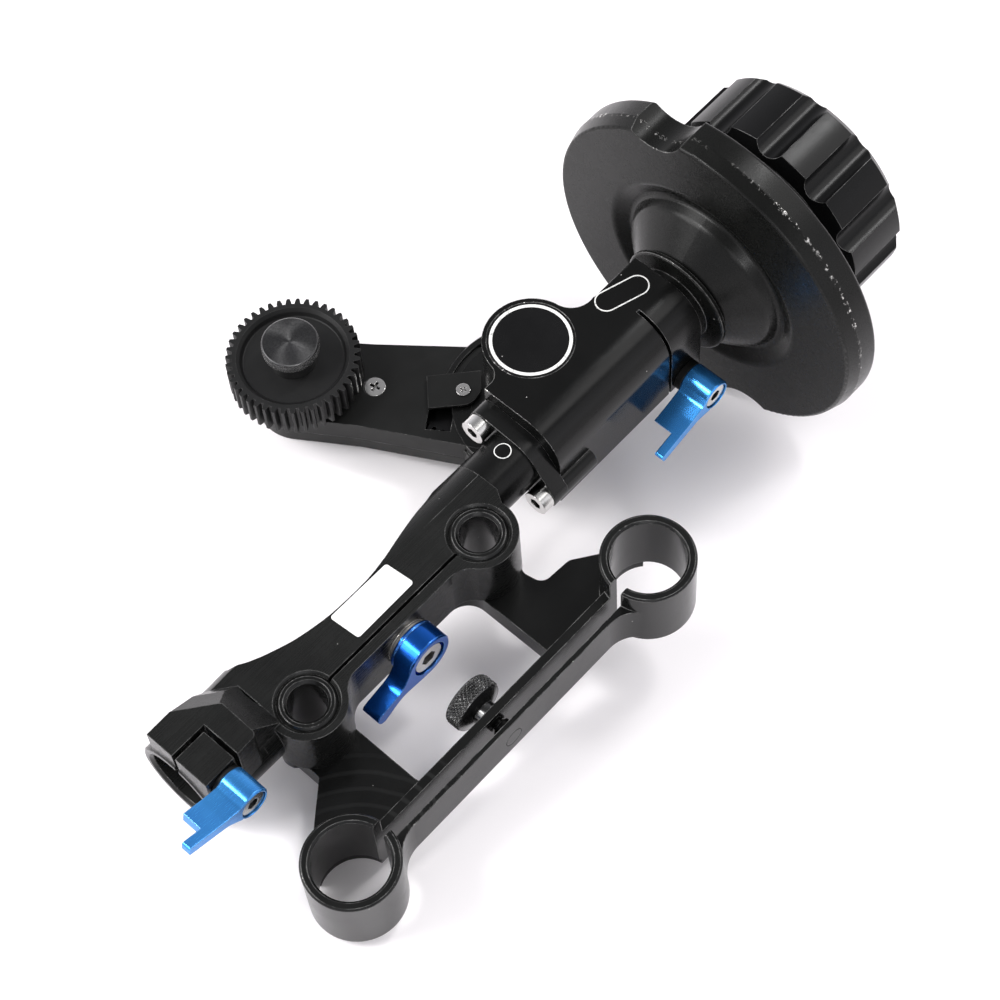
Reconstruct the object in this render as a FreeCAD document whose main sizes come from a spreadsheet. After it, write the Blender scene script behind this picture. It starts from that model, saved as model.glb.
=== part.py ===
import FreeCAD, Part
import math
import os

from FreeCAD import Placement, Rotation, Vector

# Rod-mounted follow focus unit, millimetres.
# X runs along the bridge towards the handwheel, Y points away from the rod side,
# Z is the direction of the two support rods. The origin lies midway between the
# two rod axes, in the plane of the lower ring faces.

doc = FreeCAD.newDocument("follow_focus")
sheet = doc.addObject("Spreadsheet::Sheet", "dims")

ROWS = [
    # rod bracket
    ("rod_half_pitch", 52.0), ("rod_bore_radius", 9.5), ("ring_radius", 12.0),
    ("ring_height", 21.3), ("plate_top", 4.0), ("plate_bottom", -2.4),
    ("bar_top", 14.0), ("strip_top", 15.0), ("strip_bottom", 1.6),
    ("post_half_pitch", 30.0), ("post_axis_y", 35.65), ("post_radius", 7.5),
    ("post_bore_radius", 5.0), ("bridge_top", 21.1), ("bridge_bottom", 4.02),
    ("post_fit_radius", 7.54),
    # common shaft axis
    ("axis_y", 46.7), ("axis_z", 12.5),
    ("tube_radius", 8.15), ("tube_bore_radius", 4.0), ("tube_end_x", 65.5),
    ("tube_seam_x", 42.0), ("tube_spigot_radius", 5.5), ("tube_spigot_x", 24.0),
    # clamp socket
    ("socket_end_x", -63.3), ("socket_radius", 11.9), ("socket_bore_radius", 9.5),
    ("socket_depth", 25.3), ("block_top", 30.5),
    # gear housing
    ("housing_front_x", 59.1), ("housing_end_x", 113.4), ("housing_top", 26.1),
    ("housing_bottom", -2.8), ("housing_near_y", 35.1), ("housing_far_y", 57.6),
    ("housing_round", 11.0), ("boss_radius", 12.5), ("pivot_x", 77.4), ("pivot_y", 61.0),
    ("lay_y", 46.7), ("housing_bore_radius", 9.0), ("saw_cut_x", 101.0), ("saw_cut_width", 1.0),
    ("cap_radius", 11.3), ("cap_thickness", 1.2),
    # flange
    ("flange_front_x", 54.2), ("ear_radius", 3.8), ("ear_offset", 12.0), ("ear_angle", 30.0),
    # handwheel
    ("disc_back_x", 127.0), ("disc_front_x", 137.4), ("disc_radius", 49.7),
    ("notch_radius", 11.3), ("notch_offset", 55.5), ("notch_angle", 70.0),
    ("knob_near_x", 138.2), ("knob_far_x", 171.8), ("knob_radius", 31.6),
    ("knob_flutes", 12), ("collar_radius", 16.0), ("shaft_radius", 6.0),
    ("shaft_fit_radius", 6.03),
    # gears
    ("gear_module", 0.8), ("spur_module", 0.65), ("spur_teeth", 22),
    ("bevel_teeth", 16), ("centre_teeth", 29), ("idler_teeth", 26),
    ("drive_teeth", 43), ("drive_top", 6.5), ("drive_width", 9.5),
    ("arm_gear_bottom", -12.6), ("arm_gear_width", 5.0),
    # arm
    ("arm_top", -5.0), ("arm_split", -11.9), ("arm_bottom", -16.1),
    ("drum_radius", 25.2), ("drum_top", -4.2), ("arm_length", 63.6),
    ("arm_dir_x", -0.558), ("arm_dir_y", 0.830),
    # levers
    ("lever_hub_radius", 4.5), ("mid_hub_radius", 7.0), ("screw_radius", 2.0),
    ("hole_radius", 2.05), ("mid_screw_radius", 2.5), ("mid_hole_radius", 2.55),
    # thumbscrews
    ("thumb_head_radius", 7.35), ("thumb_head_near", 8.5), ("thumb_head_far", 13.2),
    ("gear_thumb_radius", 7.7), ("gear_thumb_top", 13.4), ("gear_thumb_height", 3.6),
]
for row, (alias, value) in enumerate(ROWS, start=1):
    sheet.set("A%d" % row, alias)
    sheet.set("B%d" % row, str(value))
    sheet.setAlias("B%d" % row, alias)
doc.recompute()


def dim(alias):
    return float(getattr(sheet, alias))


PARTS = []


def keep(obj, label):
    obj.Label = label
    PARTS.append(obj)
    return obj


def bind(obj, prop, value):
    # a string is an expression over the sheet's aliases, a number is used as it is
    if isinstance(value, str):
        expr = value
        for alias in sorted((r[0] for r in ROWS), key=len, reverse=True):
            expr = expr.replace("$" + alias, "dims." + alias)
        obj.setExpression(prop, expr)
    else:
        setattr(obj, prop, value)


def value_of(value):
    if not isinstance(value, str):
        return float(value)
    expr = value
    for alias in sorted((r[0] for r in ROWS), key=len, reverse=True):
        expr = expr.replace("$" + alias, "(%r)" % dim(alias))
    total = 0.0
    expr = expr.replace(" ", "").replace("--", "+")
    # only sums of numbers in brackets are used for positions
    token, sign, terms = "", 1.0, []
    depth = 0
    for ch in expr + "+":
        if ch == "(":
            depth += 1
            continue
        if ch == ")":
            depth -= 1
            continue
        if ch in "+-" and depth == 0:
            if token:
                terms.append(sign * float(token))
                token = ""
                sign = 1.0
            if ch == "-":
                sign = -sign if not token and not terms and sign < 0 else -1.0
            else:
                sign = 1.0
            continue
        token += ch
    for term in terms:
        total += term
    return total


ROT = {"Z": Rotation(), "X": Rotation(Vector(0, 1, 0), 90),
       "Y": Rotation(Vector(1, 0, 0), -90), "-Z": Rotation(Vector(1, 0, 0), 180)}


def place(obj, base, axis="Z", rot=None):
    obj.Placement = Placement(Vector(*[value_of(b) for b in base]), rot or ROT[axis])
    for part, value in zip("xyz", base):
        if isinstance(value, str):
            bind(obj, "Placement.Base." + part, value)
    return obj


COUNT = [0]


def uid(kind):
    COUNT[0] += 1
    return "%s_%03d" % (kind, COUNT[0])


def cyl(radius, height, base, axis="Z"):
    obj = doc.addObject("Part::Cylinder", uid("cyl"))
    bind(obj, "Radius", radius)
    bind(obj, "Height", height)
    return place(obj, base, axis)


def cone(radius_one, radius_two, height, base, axis="Z"):
    obj = doc.addObject("Part::Cone", uid("cone"))
    bind(obj, "Radius1", radius_one)
    bind(obj, "Radius2", radius_two)
    bind(obj, "Height", height)
    return place(obj, base, axis)


def box(size, base):
    obj = doc.addObject("Part::Box", uid("box"))
    for prop, value in zip(("Length", "Width", "Height"), size):
        bind(obj, prop, value)
    return place(obj, base)


def hexagon(across, height, base, axis="Z"):
    obj = doc.addObject("Part::Prism", uid("hex"))
    obj.Polygon = 6
    obj.Circumradius = across / math.sqrt(3.0)
    bind(obj, "Height", height)
    return place(obj, base, axis)


def fuse(*items):
    obj = doc.addObject("Part::MultiFuse", uid("fuse"))
    obj.Shapes = list(items)
    obj.Refine = True
    return obj


def common(*items):
    obj = doc.addObject("Part::MultiCommon", uid("common"))
    obj.Shapes = list(items)
    return obj


def cut(base, *tools):
    obj = doc.addObject("Part::Cut", uid("cut"))
    obj.Base = base
    obj.Tool = tools[0] if len(tools) == 1 else fuse(*tools)
    obj.Refine = True
    return obj


def group(*items):
    obj = doc.addObject("Part::Compound", uid("group"))
    obj.Links = list(items)
    return obj


# ---------------------------------------------------------------- sketches
def plane_of(body, role):
    for feature in body.Origin.OriginFeatures:
        if feature.Role == role:
            return feature
    raise ValueError(role)


def new_body(label):
    body = doc.addObject("PartDesign::Body", label)
    return keep(body, label)


def sketch(body, role, offset=(0, 0, 0)):
    sk = body.newObject("Sketcher::SketchObject", uid("sketch"))
    sk.AttachmentSupport = [(plane_of(body, role), "")]
    sk.MapMode = "FlatFace"
    sk.AttachmentOffset = Placement(Vector(*[value_of(o) for o in offset]), Rotation())
    for part, value in zip("xyz", offset):
        if isinstance(value, str):
            bind(sk, "AttachmentOffset.Base." + part, value)
    return sk


def rounded_edges(points):
    # closed outline of (x, y) or (x, y, corner radius) points as lines and arcs
    count = len(points)
    starts, ends, arcs = [], [], []
    for i in range(count):
        p = Vector(points[i][0], points[i][1], 0)
        radius = points[i][2] if len(points[i]) > 2 else 0
        if radius <= 0:
            starts.append(p)
            ends.append(p)
            arcs.append(None)
            continue
        a = Vector(points[i - 1][0], points[i - 1][1], 0) - p
        b = Vector(points[(i + 1) % count][0], points[(i + 1) % count][1], 0) - p
        a.normalize()
        b.normalize()
        half = math.acos(max(-1.0, min(1.0, a.dot(b)))) / 2.0
        back = radius / math.tan(half)
        one, two = p + a * back, p + b * back
        bis = a + b
        bis.normalize()
        centre = p + bis * (radius / math.sin(half))
        mid = centre - bis * radius
        starts.append(one)
        ends.append(two)
        arcs.append((one, mid, two))
    edges = []
    for i in range(count):
        if arcs[i]:
            edges.append(Part.Arc(*arcs[i]))
        nxt = starts[(i + 1) % count]
        if (nxt - ends[i]).Length > 1e-6:
            edges.append(Part.LineSegment(ends[i], nxt))
    return edges


def add_outline(sk, points):
    geo = []
    for edge in rounded_edges(points):
        if isinstance(edge, Part.Arc):
            circle = edge.toShape().Curve
            one, two = edge.toShape().ParameterRange
            geo.append(Part.ArcOfCircle(circle, one, two))
        else:
            geo.append(edge)
    sk.addGeometry(geo, False)


def add_circle(sk, centre, radius):
    import Sketcher
    index = sk.addGeometry(Part.Circle(Vector(value_of(centre[0]), value_of(centre[1]), 0),
                                       Vector(0, 0, 1), value_of(radius)), False)
    sk.addConstraint(Sketcher.Constraint("Radius", index, value_of(radius)))
    if isinstance(radius, str):
        expr = radius
        for alias in sorted((r[0] for r in ROWS), key=len, reverse=True):
            expr = expr.replace("$" + alias, "dims." + alias)
        sk.setExpression("Constraints[%d]" % (sk.ConstraintCount - 1), expr)
    return index


def pad(body, sk, length, reverse=False):
    obj = body.newObject("PartDesign::Pad", uid("pad"))
    obj.Profile = sk
    bind(obj, "Length", length)
    obj.Reversed = reverse
    return obj


def pocket(body, sk, length, reverse=False):
    obj = body.newObject("PartDesign::Pocket", uid("pocket"))
    obj.Profile = sk
    bind(obj, "Length", length)
    obj.Reversed = reverse
    return obj


def turned(body, axis, origin, points, groove=False):
    # profile of (distance along the axis, radius) points turned about the axis
    if axis == "X":
        sk = sketch(body, "XZ_Plane", (0, origin[1], -value_of(origin[0])))
    elif axis == "Y":
        sk = sketch(body, "YZ_Plane", (0, origin[1], origin[0]))
    else:
        sk = sketch(body, "XZ_Plane", (origin[0], 0, -value_of(origin[1])))
    if axis == "Z":
        add_outline(sk, [(p[1], p[0]) + tuple(p[2:]) for p in points])
    else:
        add_outline(sk, points)
    kind = "PartDesign::Groove" if groove else "PartDesign::Revolution"
    obj = body.newObject(kind, uid("turn"))
    obj.Profile = sk
    obj.ReferenceAxis = (sk, ["V_Axis" if axis == "Z" else "H_Axis"])
    obj.Angle = 360
    return obj


def ring_profile(near, far, bore, outer, chamfer=0.0):
    if chamfer <= 0:
        return [(near, bore), (near, outer), (far, outer), (far, bore)]
    return [(near, bore), (near, outer - chamfer), (near + chamfer, outer),
            (far - chamfer, outer), (far, outer - chamfer), (far, bore)]


AXIS_X = ("$axis_y", "$axis_z")

# ---------------------------------------------------------------- rod bracket
# One machined plate: two split rod rings, a split bar between them and a deck
# that carries the two bridge posts.
HP = dim("rod_half_pitch")
body = new_body("rod_bracket")
sk = sketch(body, "XY_Plane", (0, 0, "$plate_bottom"))
add_outline(sk, [(-52, 2.0), (52, 2.0), (60.3, 8.6), (51.4, 15.8, 2.0), (45.2, 20.2, 3.0),
                 (36.2, 20.8, 3.0), (35.0, 27.0, 3.0), (39.5, 31.0, 2.5), (40.0, 38.0, 5.0),
                 (34.0, 45.4, 5.0), (-34.0, 45.4, 5.0), (-39.6, 38.0, 4.0), (-38.8, 35.0),
                 (-38.0, 34.2), (-38.0, 26.4, 1.0), (-48.2, 18.2, 1.0), (-57.2, 10.6)])
pad(body, sk, "$plate_top - $plate_bottom")
sk = sketch(body, "XY_Plane", (0, 0, "$plate_bottom"))
add_outline(sk, [(-46, 2.0), (46, 2.0), (46, 4.35), (-46, 4.35)])
pad(body, sk, "$bar_top - $plate_bottom")
sk = sketch(body, "XY_Plane", (0, 0, "$strip_bottom"))
add_outline(sk, [(-46, -2.8), (46, -2.8), (46, -1.5), (-46, -1.5)])
pad(body, sk, "$strip_top - $strip_bottom")
# concave blends of the outer strip into the rings
for side in (-1, 1):
    sk = sketch(body, "XY_Plane", (0, 0, "$strip_bottom"))
    xs = [side * v for v in (34.63, 38.84, 42.2, 46.0, 34.63)]
    ys = [-2.8, -3.85, -6.9, -1.5, -1.5]
    p = [Vector(xs[i], ys[i], 0) for i in range(5)]
    curve = Part.Arc(p[0], p[1], p[2]).toShape()
    circle = curve.Curve
    sk.addGeometry([Part.ArcOfCircle(circle, *curve.ParameterRange),
                    Part.LineSegment(p[2], p[3]), Part.LineSegment(p[3], p[4]),
                    Part.LineSegment(p[4], p[0])], False)
    pad(body, sk, "$strip_top - $strip_bottom")
for side in (-1, 1):
    turned(body, "Z", (side * HP, 0), ring_profile(0, dim("ring_height"), 4.0, dim("ring_radius"), 0.5))
window = sketch(body, "XY_Plane", (0, 0, "$plate_bottom"))
add_outline(window, [(-23, 4.35, 5.0), (23, 4.35), (23, 35, 6.0), (-23, 35, 6.0)])
pocket(body, window, "$plate_top - $plate_bottom + 1", reverse=True)
for side in (-1, 1):
    turned(body, "Z", (side * HP, 0),
           [(-5.0, 0.0), (-5.0, dim("rod_bore_radius")), (-0.01, dim("rod_bore_radius") + 0.6),
            (0.0, dim("rod_bore_radius") + 0.6), (0.6, dim("rod_bore_radius")),
            (dim("ring_height") - 0.6, dim("rod_bore_radius")),
            (dim("ring_height"), dim("rod_bore_radius") + 0.6), (30.0, dim("rod_bore_radius") + 0.6),
            (30.0, 0.0)], groove=True)
slit = sketch(body, "XY_Plane", (0, 0, -6))
add_outline(slit, [(-47, -1.5), (47, -1.5), (47, 2.0), (-47, 2.0)])
pocket(body, slit, 36, reverse=True)
posts = sketch(body, "XY_Plane", (0, 0, -6))
for side in (-1, 1):
    add_circle(posts, (side * dim("post_half_pitch"), "$post_axis_y"), "$post_radius")
pocket(body, posts, 30, reverse=True)
screw = sketch(body, "XZ_Plane", (0, 0, -1))
add_circle(screw, (-0.3, 7.25), 1.8)
pocket(body, screw, 4.2)
screw = sketch(body, "XZ_Plane", (0, 0, 6))
add_circle(screw, (-0.3, 7.25), 2.5)
pocket(body, screw, 5.2)
turned(body, "Y", (-0.3, 7.25), [(-3.1, 0), (-3.1, 3.05), (-2.45, 2.5), (-2.45, 0)], groove=True)

# two tubular posts pressed into the deck
tubes = []
for side in (-1, 1):
    outer = cyl("$post_radius", "$bridge_top - $plate_bottom - 0.8",
                (side * dim("post_half_pitch"), "$post_axis_y", "$plate_bottom"))
    top = cone("$post_radius", "$post_radius - 0.8", 0.8,
               (side * dim("post_half_pitch"), "$post_axis_y", "$bridge_top - 0.8"))
    bore = cyl("$post_bore_radius", 40, (side * dim("post_half_pitch"), "$post_axis_y", -8))
    rim = cone("$post_bore_radius", "$post_bore_radius + 0.8", 0.81,
               (side * dim("post_half_pitch"), "$post_axis_y", "$bridge_top - 0.8"))
    tubes.append(cut(fuse(outer, top), bore, rim))
keep(group(*tubes), "bridge_posts")

# closed threaded insert in the outer strip, and the knurled clamp screw
insert = cut(cyl(2.5, 4.2, (-0.3, -2.8, 7.25), "Y"), cyl(1.55, 3.3, (-0.3, -1.9, 7.25), "Y"))
keep(insert, "strip_insert")
body = new_body("clamp_thumbscrew")
turned(body, "Y", (-0.3, 7.25),
       [(-1.5, 0), (-1.5, 1.2), (-1.2, 1.5), (4.45, 1.5), (4.45, 4.6), (5.3, 4.6), (5.6, 3.4), (7.2, 3.4),
        (7.9, 5.4), (8.5, 6.6), (8.5, 6.75), (9.1, 7.35), (12.6, 7.35), (13.2, 6.75), (13.2, 0)])

# ---------------------------------------------------------------- bridge
R = dim("post_half_pitch")
BY = dim("post_axis_y")
body = new_body("bridge_body")
# spindle-shaped back of the bridge, turned about the common axis
spindle = [(-45.0, 12.1), (-36.0, 12.1), (-34.0, 11.9), (-31.0, 11.0), (-27.0, 10.05), (-22.0, 9.3), (-15.6, 8.8),
           (-8.0, 8.64), (2.0, 8.62), (12.0, 8.6), (25.0, 8.55), (34.0, 8.25), (42.0, 8.15)]
sk = sketch(body, "XZ_Plane", (0, "$axis_z", "-$axis_y"))
curve = Part.BSplineCurve()
curve.interpolate([Vector(x, r, 0) for x, r in spindle])
sk.addGeometry([curve, Part.LineSegment(Vector(42, 8.15, 0), Vector(42, 0, 0)),
                Part.LineSegment(Vector(42, 0, 0), Vector(-45, 0, 0)),
                Part.LineSegment(Vector(-45, 0, 0), Vector(-45, 12.1, 0))], False)
rev = body.newObject("PartDesign::Revolution", uid("turn"))
rev.Profile = sk
rev.ReferenceAxis = (sk, ["H_Axis"])
rev.Angle = 360
top = sketch(body, "XY_Plane", (0, 0, "$bridge_top"))
add_outline(top, [(-46, 25), (60, 25), (60, 70), (-46, 70)])
pocket(body, top, 12, reverse=True)
# deck with the two post bosses and the near clamp jaw
deck = sketch(body, "XY_Plane", (0, 0, "$bridge_bottom"))
v = lambda x, y: Vector(x, y, 0)
arcs = [(v(-39.9, 37.0), v(-R, BY - 10.0), v(-22.34, 29.22)), (v(-22.34, 29.22), v(-20.2, 31.5), v(-16.9, 32.6)),
        None, (v(16.9, 32.6), v(20.2, 31.5), v(22.34, 29.22)), (v(22.34, 29.22), v(R, BY - 10.0), v(39.9, 37.0))]
geo = []
for item in arcs:
    if item is None:
        geo.append(Part.LineSegment(v(-16.9, 32.6), v(16.9, 32.6)))
    else:
        shape = Part.Arc(*item).toShape()
        geo.append(Part.ArcOfCircle(shape.Curve, *shape.ParameterRange))
chain = [v(39.9, 37.0), v(42.0, 40.5), v(42.0, 46.7), v(-44.0, 46.7), v(-44.0, 37.0), v(-39.9, 37.0)]
for a, b in zip(chain, chain[1:]):
    geo.append(Part.LineSegment(a, b))
deck.addGeometry(geo, False)
pad(body, deck, "$bridge_top - $bridge_bottom")
# long scoop that narrows the back between the two bosses
waist = [(-36.4, 56.2), (-35.2, 55.5), (-33.9, 54.85), (-32.5, 53.95), (-31.0, 53.2), (-28.3, 52.0), (-25.3, 50.9),
         (-22.2, 49.85), (-19.0, 49.0), (-15.6, 48.35), (-12.1, 47.8), (-8.4, 47.45), (-4.4, 47.33), (0.0, 47.3),
         (4.1, 47.5), (6.5, 47.8), (9.0, 48.2), (11.7, 48.75), (14.5, 49.45), (17.2, 50.1), (19.9, 50.75),
         (22.5, 51.3), (25.0, 51.85), (28.0, 52.3), (31.0, 53.2), (34.0, 54.6), (36.5, 56.4)]
scoop = sketch(body, "XY_Plane", (0, 0, -4))
back = Part.BSplineCurve()
back.interpolate([v(x, y) for x, y in waist])
scoop.addGeometry([back, Part.LineSegment(v(36.5, 56.4), v(36.5, 70.0)), Part.LineSegment(v(36.5, 70.0), v(-36.4, 70.0)),
                   Part.LineSegment(v(-36.4, 70.0), v(-36.4, 56.2))], False)
pocket(body, scoop, 32, reverse=True)
# socket barrel, clamp block and the faceted ramp behind it
turned(body, "X", (dim("axis_y"), dim("axis_z")),
       [(-63.3, 0), (-63.3, 11.6), (-62.8, 12.1), (-44.5, 12.1), (-44.0, 11.6), (-44.0, 0)])
block = sketch(body, "XY_Plane", (0, 0, "$axis_z"))
add_outline(block, [(-62.9, 34.5), (-45.9, 34.9, 1.5), (-45.7, 46.6), (-55.3, 54.3), (-62.9, 54.2)])
pad(body, block, "$block_top - $axis_z")
levels = [(14.0, [(-58.0, 40.0), (-58.0, 54.2), (-43.2, 55.1), (-37.9, 50.9), (-37.9, 36.6), (-50.0, 36.6)]),
          ("$bridge_top", [(-58.0, 40.0), (-58.0, 54.2), (-43.2, 55.1), (-37.9, 50.9), (-37.9, 36.6), (-50.0, 36.6)]),
          (26.0, [(-58.0, 40.0), (-58.0, 54.2), (-48.1, 55.0), (-42.1, 50.3), (-42.1, 36.6), (-50.0, 36.6)]),
          ("$block_top", [(-58.0, 40.0), (-58.0, 54.1), (-55.4, 54.2), (-46.2, 47.1), (-46.0, 36.6), (-50.0, 36.6)])]
sections = []
for level, outline in levels:
    sk = sketch(body, "XY_Plane", (0, 0, level))
    add_outline(sk, outline)
    sections.append(sk)
doc.recompute()
ramp = body.newObject("PartDesign::AdditiveLoft", uid("loft"))
ramp.Profile = sections[0]
ramp.Sections = sections[1:]
ramp.Ruled = True
# socket bore with its chamfer
turned(body, "X", (dim("axis_y"), dim("axis_z")),
       [(-70, 0), (-70, 10.3), (-63.3, 10.3), (-62.5, 9.5), (-38.0, 9.5), (-38.0, 0)], groove=True)
# flat underside over the bracket deck
under = sketch(body, "XY_Plane", (0, 0, "$bridge_bottom"))
add_outline(under, [(-41, 24), (41.9, 24), (41.9, 46.2), (-41, 46.2)])
pocket(body, under, 12)
# L-shaped clamp slot
slot = sketch(body, "XY_Plane", (0, 0, 3.5))
add_outline(slot, [(-70, 45.9), (-52.3, 45.9), (-52.3, 30), (-53.6, 30), (-53.6, 44.6), (-70, 44.6)])
pocket(body, slot, 40, reverse=True)
# clamp screw hole of the socket jaw, post bores, deck slit and mid screw hole
for x, y, z, depth, radius in ((-57.6, 30, 25.4, 22, "$hole_radius"), (0.0, 28, 12.2, 13.5, "$mid_hole_radius"),
                               (0.0, 28, 12.2, 5.4, 6.6)):
    hole = sketch(body, "XZ_Plane", (0, 0, -y))
    add_circle(hole, (x, z), radius)
    pocket(body, hole, depth, reverse=False)
for side in (-1, 1):
    turned(body, "Z", (side * R, dim("post_axis_y")),
           [(0, 0), (0, 7.54), (20.4, 7.54), (21.1, 8.24), (25, 8.24), (25, 0)], groove=True)
slit = sketch(body, "XY_Plane", (0, 0, 0))
add_outline(slit, [(-24, 35.35), (24, 35.35), (24, 36.25), (-24, 36.25)])
pocket(body, slit, 30, reverse=True)
turned(body, "X", (dim("axis_y"), dim("axis_z")),
       [(26, 0), (26, 2.9), (38.2, 2.9), (38.2, 6.5), (43, 6.5), (43, 0)], groove=True)

# tube that carries the gear housing
body = new_body("spigot_tube")
turned(body, "X", (dim("axis_y"), dim("axis_z")),
       [(26, 0), (26, 2.9), (38.2, 2.9), (38.2, 6.5), (42, 6.5), (42, 8.15), (65.5, 8.15), (65.5, 4.0), (46, 4.0), (46, 0)])

# rental label on the deck, left blank
label = new_body("label_plate")
sk = sketch(label, "XY_Plane", (0, 0, "$bridge_top"))
add_outline(sk, [(9.7, 38.2, 0.8), (8.9, 46.8, 0.8), (-10.6, 47.0, 0.8), (-9.9, 38.0, 0.8)])
pad(label, sk, 0.2)


# ---------------------------------------------------------------- blue levers
def lever(label, x, z, near, far, hub, blade, step, back_step, direction, seat=3.8, bore=2.05, groove=None):
    # hub on a Y axis at (x, z); near is the outer face, far the inner one;
    # the blade is drawn along -X and turned to its direction afterwards
    body = new_body(label)
    profile = [(near, 0), (near, hub - 0.4), (near + 0.4, hub)]
    if groove:
        profile += [(groove, hub), (groove + 0.25, hub - 0.3), (groove + 0.5, hub)]
    turned(body, "Y", (0, 0), profile + [(far - 0.3, hub), (far, hub - 0.3), (far, 0)])
    sk = sketch(body, "XZ_Plane", (0, 0, -near))
    add_outline(sk, blade)
    pad(body, sk, far - back_step - near, reverse=True)
    if step:
        sk = sketch(body, "XZ_Plane", (0, 0, -(near + step[1])))
        add_outline(sk, [(-40, -20), (step[0], -20), (step[0], 20), (-40, 20)])
        pocket(body, sk, 30, reverse=False)
    turned(body, "Y", (0, 0), [(near - 1, 0), (near - 1, seat), (near + 2.4, seat), (near + 2.4, bore),
                               (far + 1, bore), (far + 1, 0)], groove=True)
    body.Placement = Placement(Vector(x, 0, z), Rotation(Vector(0, 1, 0), direction))
    return body


def socket_screw(label, x, near, z, end, head=3.45, shank_radius="$screw_radius", key=3.0):
    # cap screw on a Y axis with its head face at near and its end at far
    shank = cyl(shank_radius, end - near - 1.8, (x, near + 1.8, z), "Y")
    cap = cyl(head, 1.95, (x, near, z), "Y")
    return keep(cut(fuse(shank, cap), hexagon(key, 1.6, (x, near - 0.01, z), "Y")), label)


def washer(x, near, z, outer, thick, bore=2.06):
    return cut(cyl(outer, thick, (x, near, z), "Y"), cyl(bore, thick + 2, (x, near - 1, z), "Y"))


def small_blade(reach):
    return [(-1.8, 3.95), (-4.7, 2.85, 2.5), (-9.5, 2.75, 8.0), (-reach, 3.75, 0.7), (-reach, 1.05, 0.7),
            (-8.0, -0.3, 5.0), (-3.6, -2.6)]


MID_BLADE = [(-3.6, 5.7), (-9.3, 1.5, 6.0), (-19.9, 3.1, 1.6), (-19.9, -1.3, 1.6), (-11.5, -0.8, 7.0), (-4.2, -5.3)]
# direction: turn about +Y; the blade starts along -X
lever("end_lever", -57.6, 25.4, 24.9, 33.5, 4.5, small_blade(20.6), (-14.8, 2.5), 0.5, 14.0)
socket_screw("end_lever_screw", -57.6, 25.3, 25.4, 47.5)
keep(washer(-57.6, 33.52, 25.4, 4.3, 0.9), "end_lever_washer")

lever("mid_lever", 0.0, 12.2, 24.7, 31.4, 7.0, MID_BLADE, None, 1.4, -24.0, seat=5.1, bore=2.55, groove=30.2)
socket_screw("mid_lever_screw", 0.0, 25.1, 12.2, 41.0, head=4.4, shank_radius="$mid_screw_radius", key=4.0)
keep(group(washer(0.0, 31.42, 12.2, 6.2, 0.85, 2.56), washer(0.0, 32.45, 12.2, 6.2, 0.85, 2.56)), "mid_spring_washers")

lever("housing_lever", 107.4, 0.6, 24.4, 33.2, 4.5, small_blade(21.8), (-14.8, 2.5), 0.5, -21.0)
socket_screw("housing_lever_screw", 107.4, 24.8, 0.6, 52.5)
keep(washer(107.4, 33.22, 0.6, 4.4, 1.8), "housing_lever_washer")

# ---------------------------------------------------------------- gear housing
PX, PY = dim("pivot_x"), dim("pivot_y")
AY, AZ = dim("axis_y"), dim("axis_z")
EA = math.radians(dim("ear_angle"))
EARS = [(AY + s * dim("ear_offset") * math.cos(EA), AZ + s * dim("ear_offset") * math.sin(EA)) for s in (-1, 1)]
body = new_body("gear_housing")
sk = sketch(body, "YZ_Plane", (0, 0, "$housing_front_x"))
add_outline(sk, [(35.1, -2.8, 1.2), (35.1, 26.1, 11.0), (57.6, 26.1, 0.6), (57.6, -2.8, 1.2)])
pad(body, sk, "$housing_end_x - $housing_front_x")
# pivot boss with its blends into the far wall
sk = sketch(body, "XY_Plane", (0, 0, "$housing_bottom"))
on_boss = lambda deg: v(PX + 12.5 * math.cos(math.radians(deg)), PY + 12.5 * math.sin(math.radians(deg)))
one, two = on_boss(170.0), on_boss(12.0)
pieces = [(v(62.0, 60.1), v(64.0, 61.2), one), (one, on_boss(90.0), two), (two, v(91.2, 59.7), v(97.5, 57.6))]
geo = []
for item in pieces:
    shape = Part.Arc(*item).toShape()
    geo.append(Part.ArcOfCircle(shape.Curve, *shape.ParameterRange))
chain = [v(97.5, 57.6), v(97.5, 50.0), v(59.1, 50.0), v(59.1, 60.1), v(62.0, 60.1)]
for a, b in zip(chain, chain[1:]):
    geo.append(Part.LineSegment(a, b))
sk.addGeometry(geo, False)
pad(body, sk, "$housing_top - $housing_bottom")
# half-round screw rib on the near wall
rib = sketch(body, "YZ_Plane", (0, 0, "$housing_front_x"))
add_circle(rib, (EARS[0][0], EARS[0][1]), "$ear_radius")
pad(body, rib, 11.0)
# shaft bore, tube bore
turned(body, "X", (AY, AZ), [(68.6, 0), (68.6, 8.2), (84.0, 8.2), (84.0, 9.0), (112.7, 9.0), (113.4, 9.7),
                             (116, 9.7), (116, 0)], groove=True)
turned(body, "X", (AY, AZ), [(50, 0), (50, 8.16), (65.6, 8.16), (65.6, 0)], groove=True)
# bevel chamber, layshaft web bore, spur chamber and cover recess, all from below
turned(body, "Z", (PX, AY), [(4.5, 0), (4.5, 7.9), (12.5, 7.9), (12.5, 0)], groove=True)
turned(body, "Z", (PX, AY), [(-4, 0), (-4, 4.0), (5, 4.0), (5, 0)], groove=True)
chamber = sketch(body, "XY_Plane", (0, 0, -4))
add_outline(chamber, [(PX - 8.4, AY - 8.4, 8.39), (PX + 8.4, AY - 8.4, 8.39), (PX + 8.4, PY + 8.4, 8.39), (PX - 8.4, PY + 8.4, 8.39)])
pocket(body, chamber, 5.9, reverse=True)
recess = sketch(body, "XY_Plane", (0, 0, -4))
add_outline(recess, [(PX - 10.2, AY - 10.2, 10.19), (PX + 10.2, AY - 10.2, 10.19), (PX + 10.2, PY + 10.2, 10.19), (PX - 10.2, PY + 10.2, 10.19)])
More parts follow.
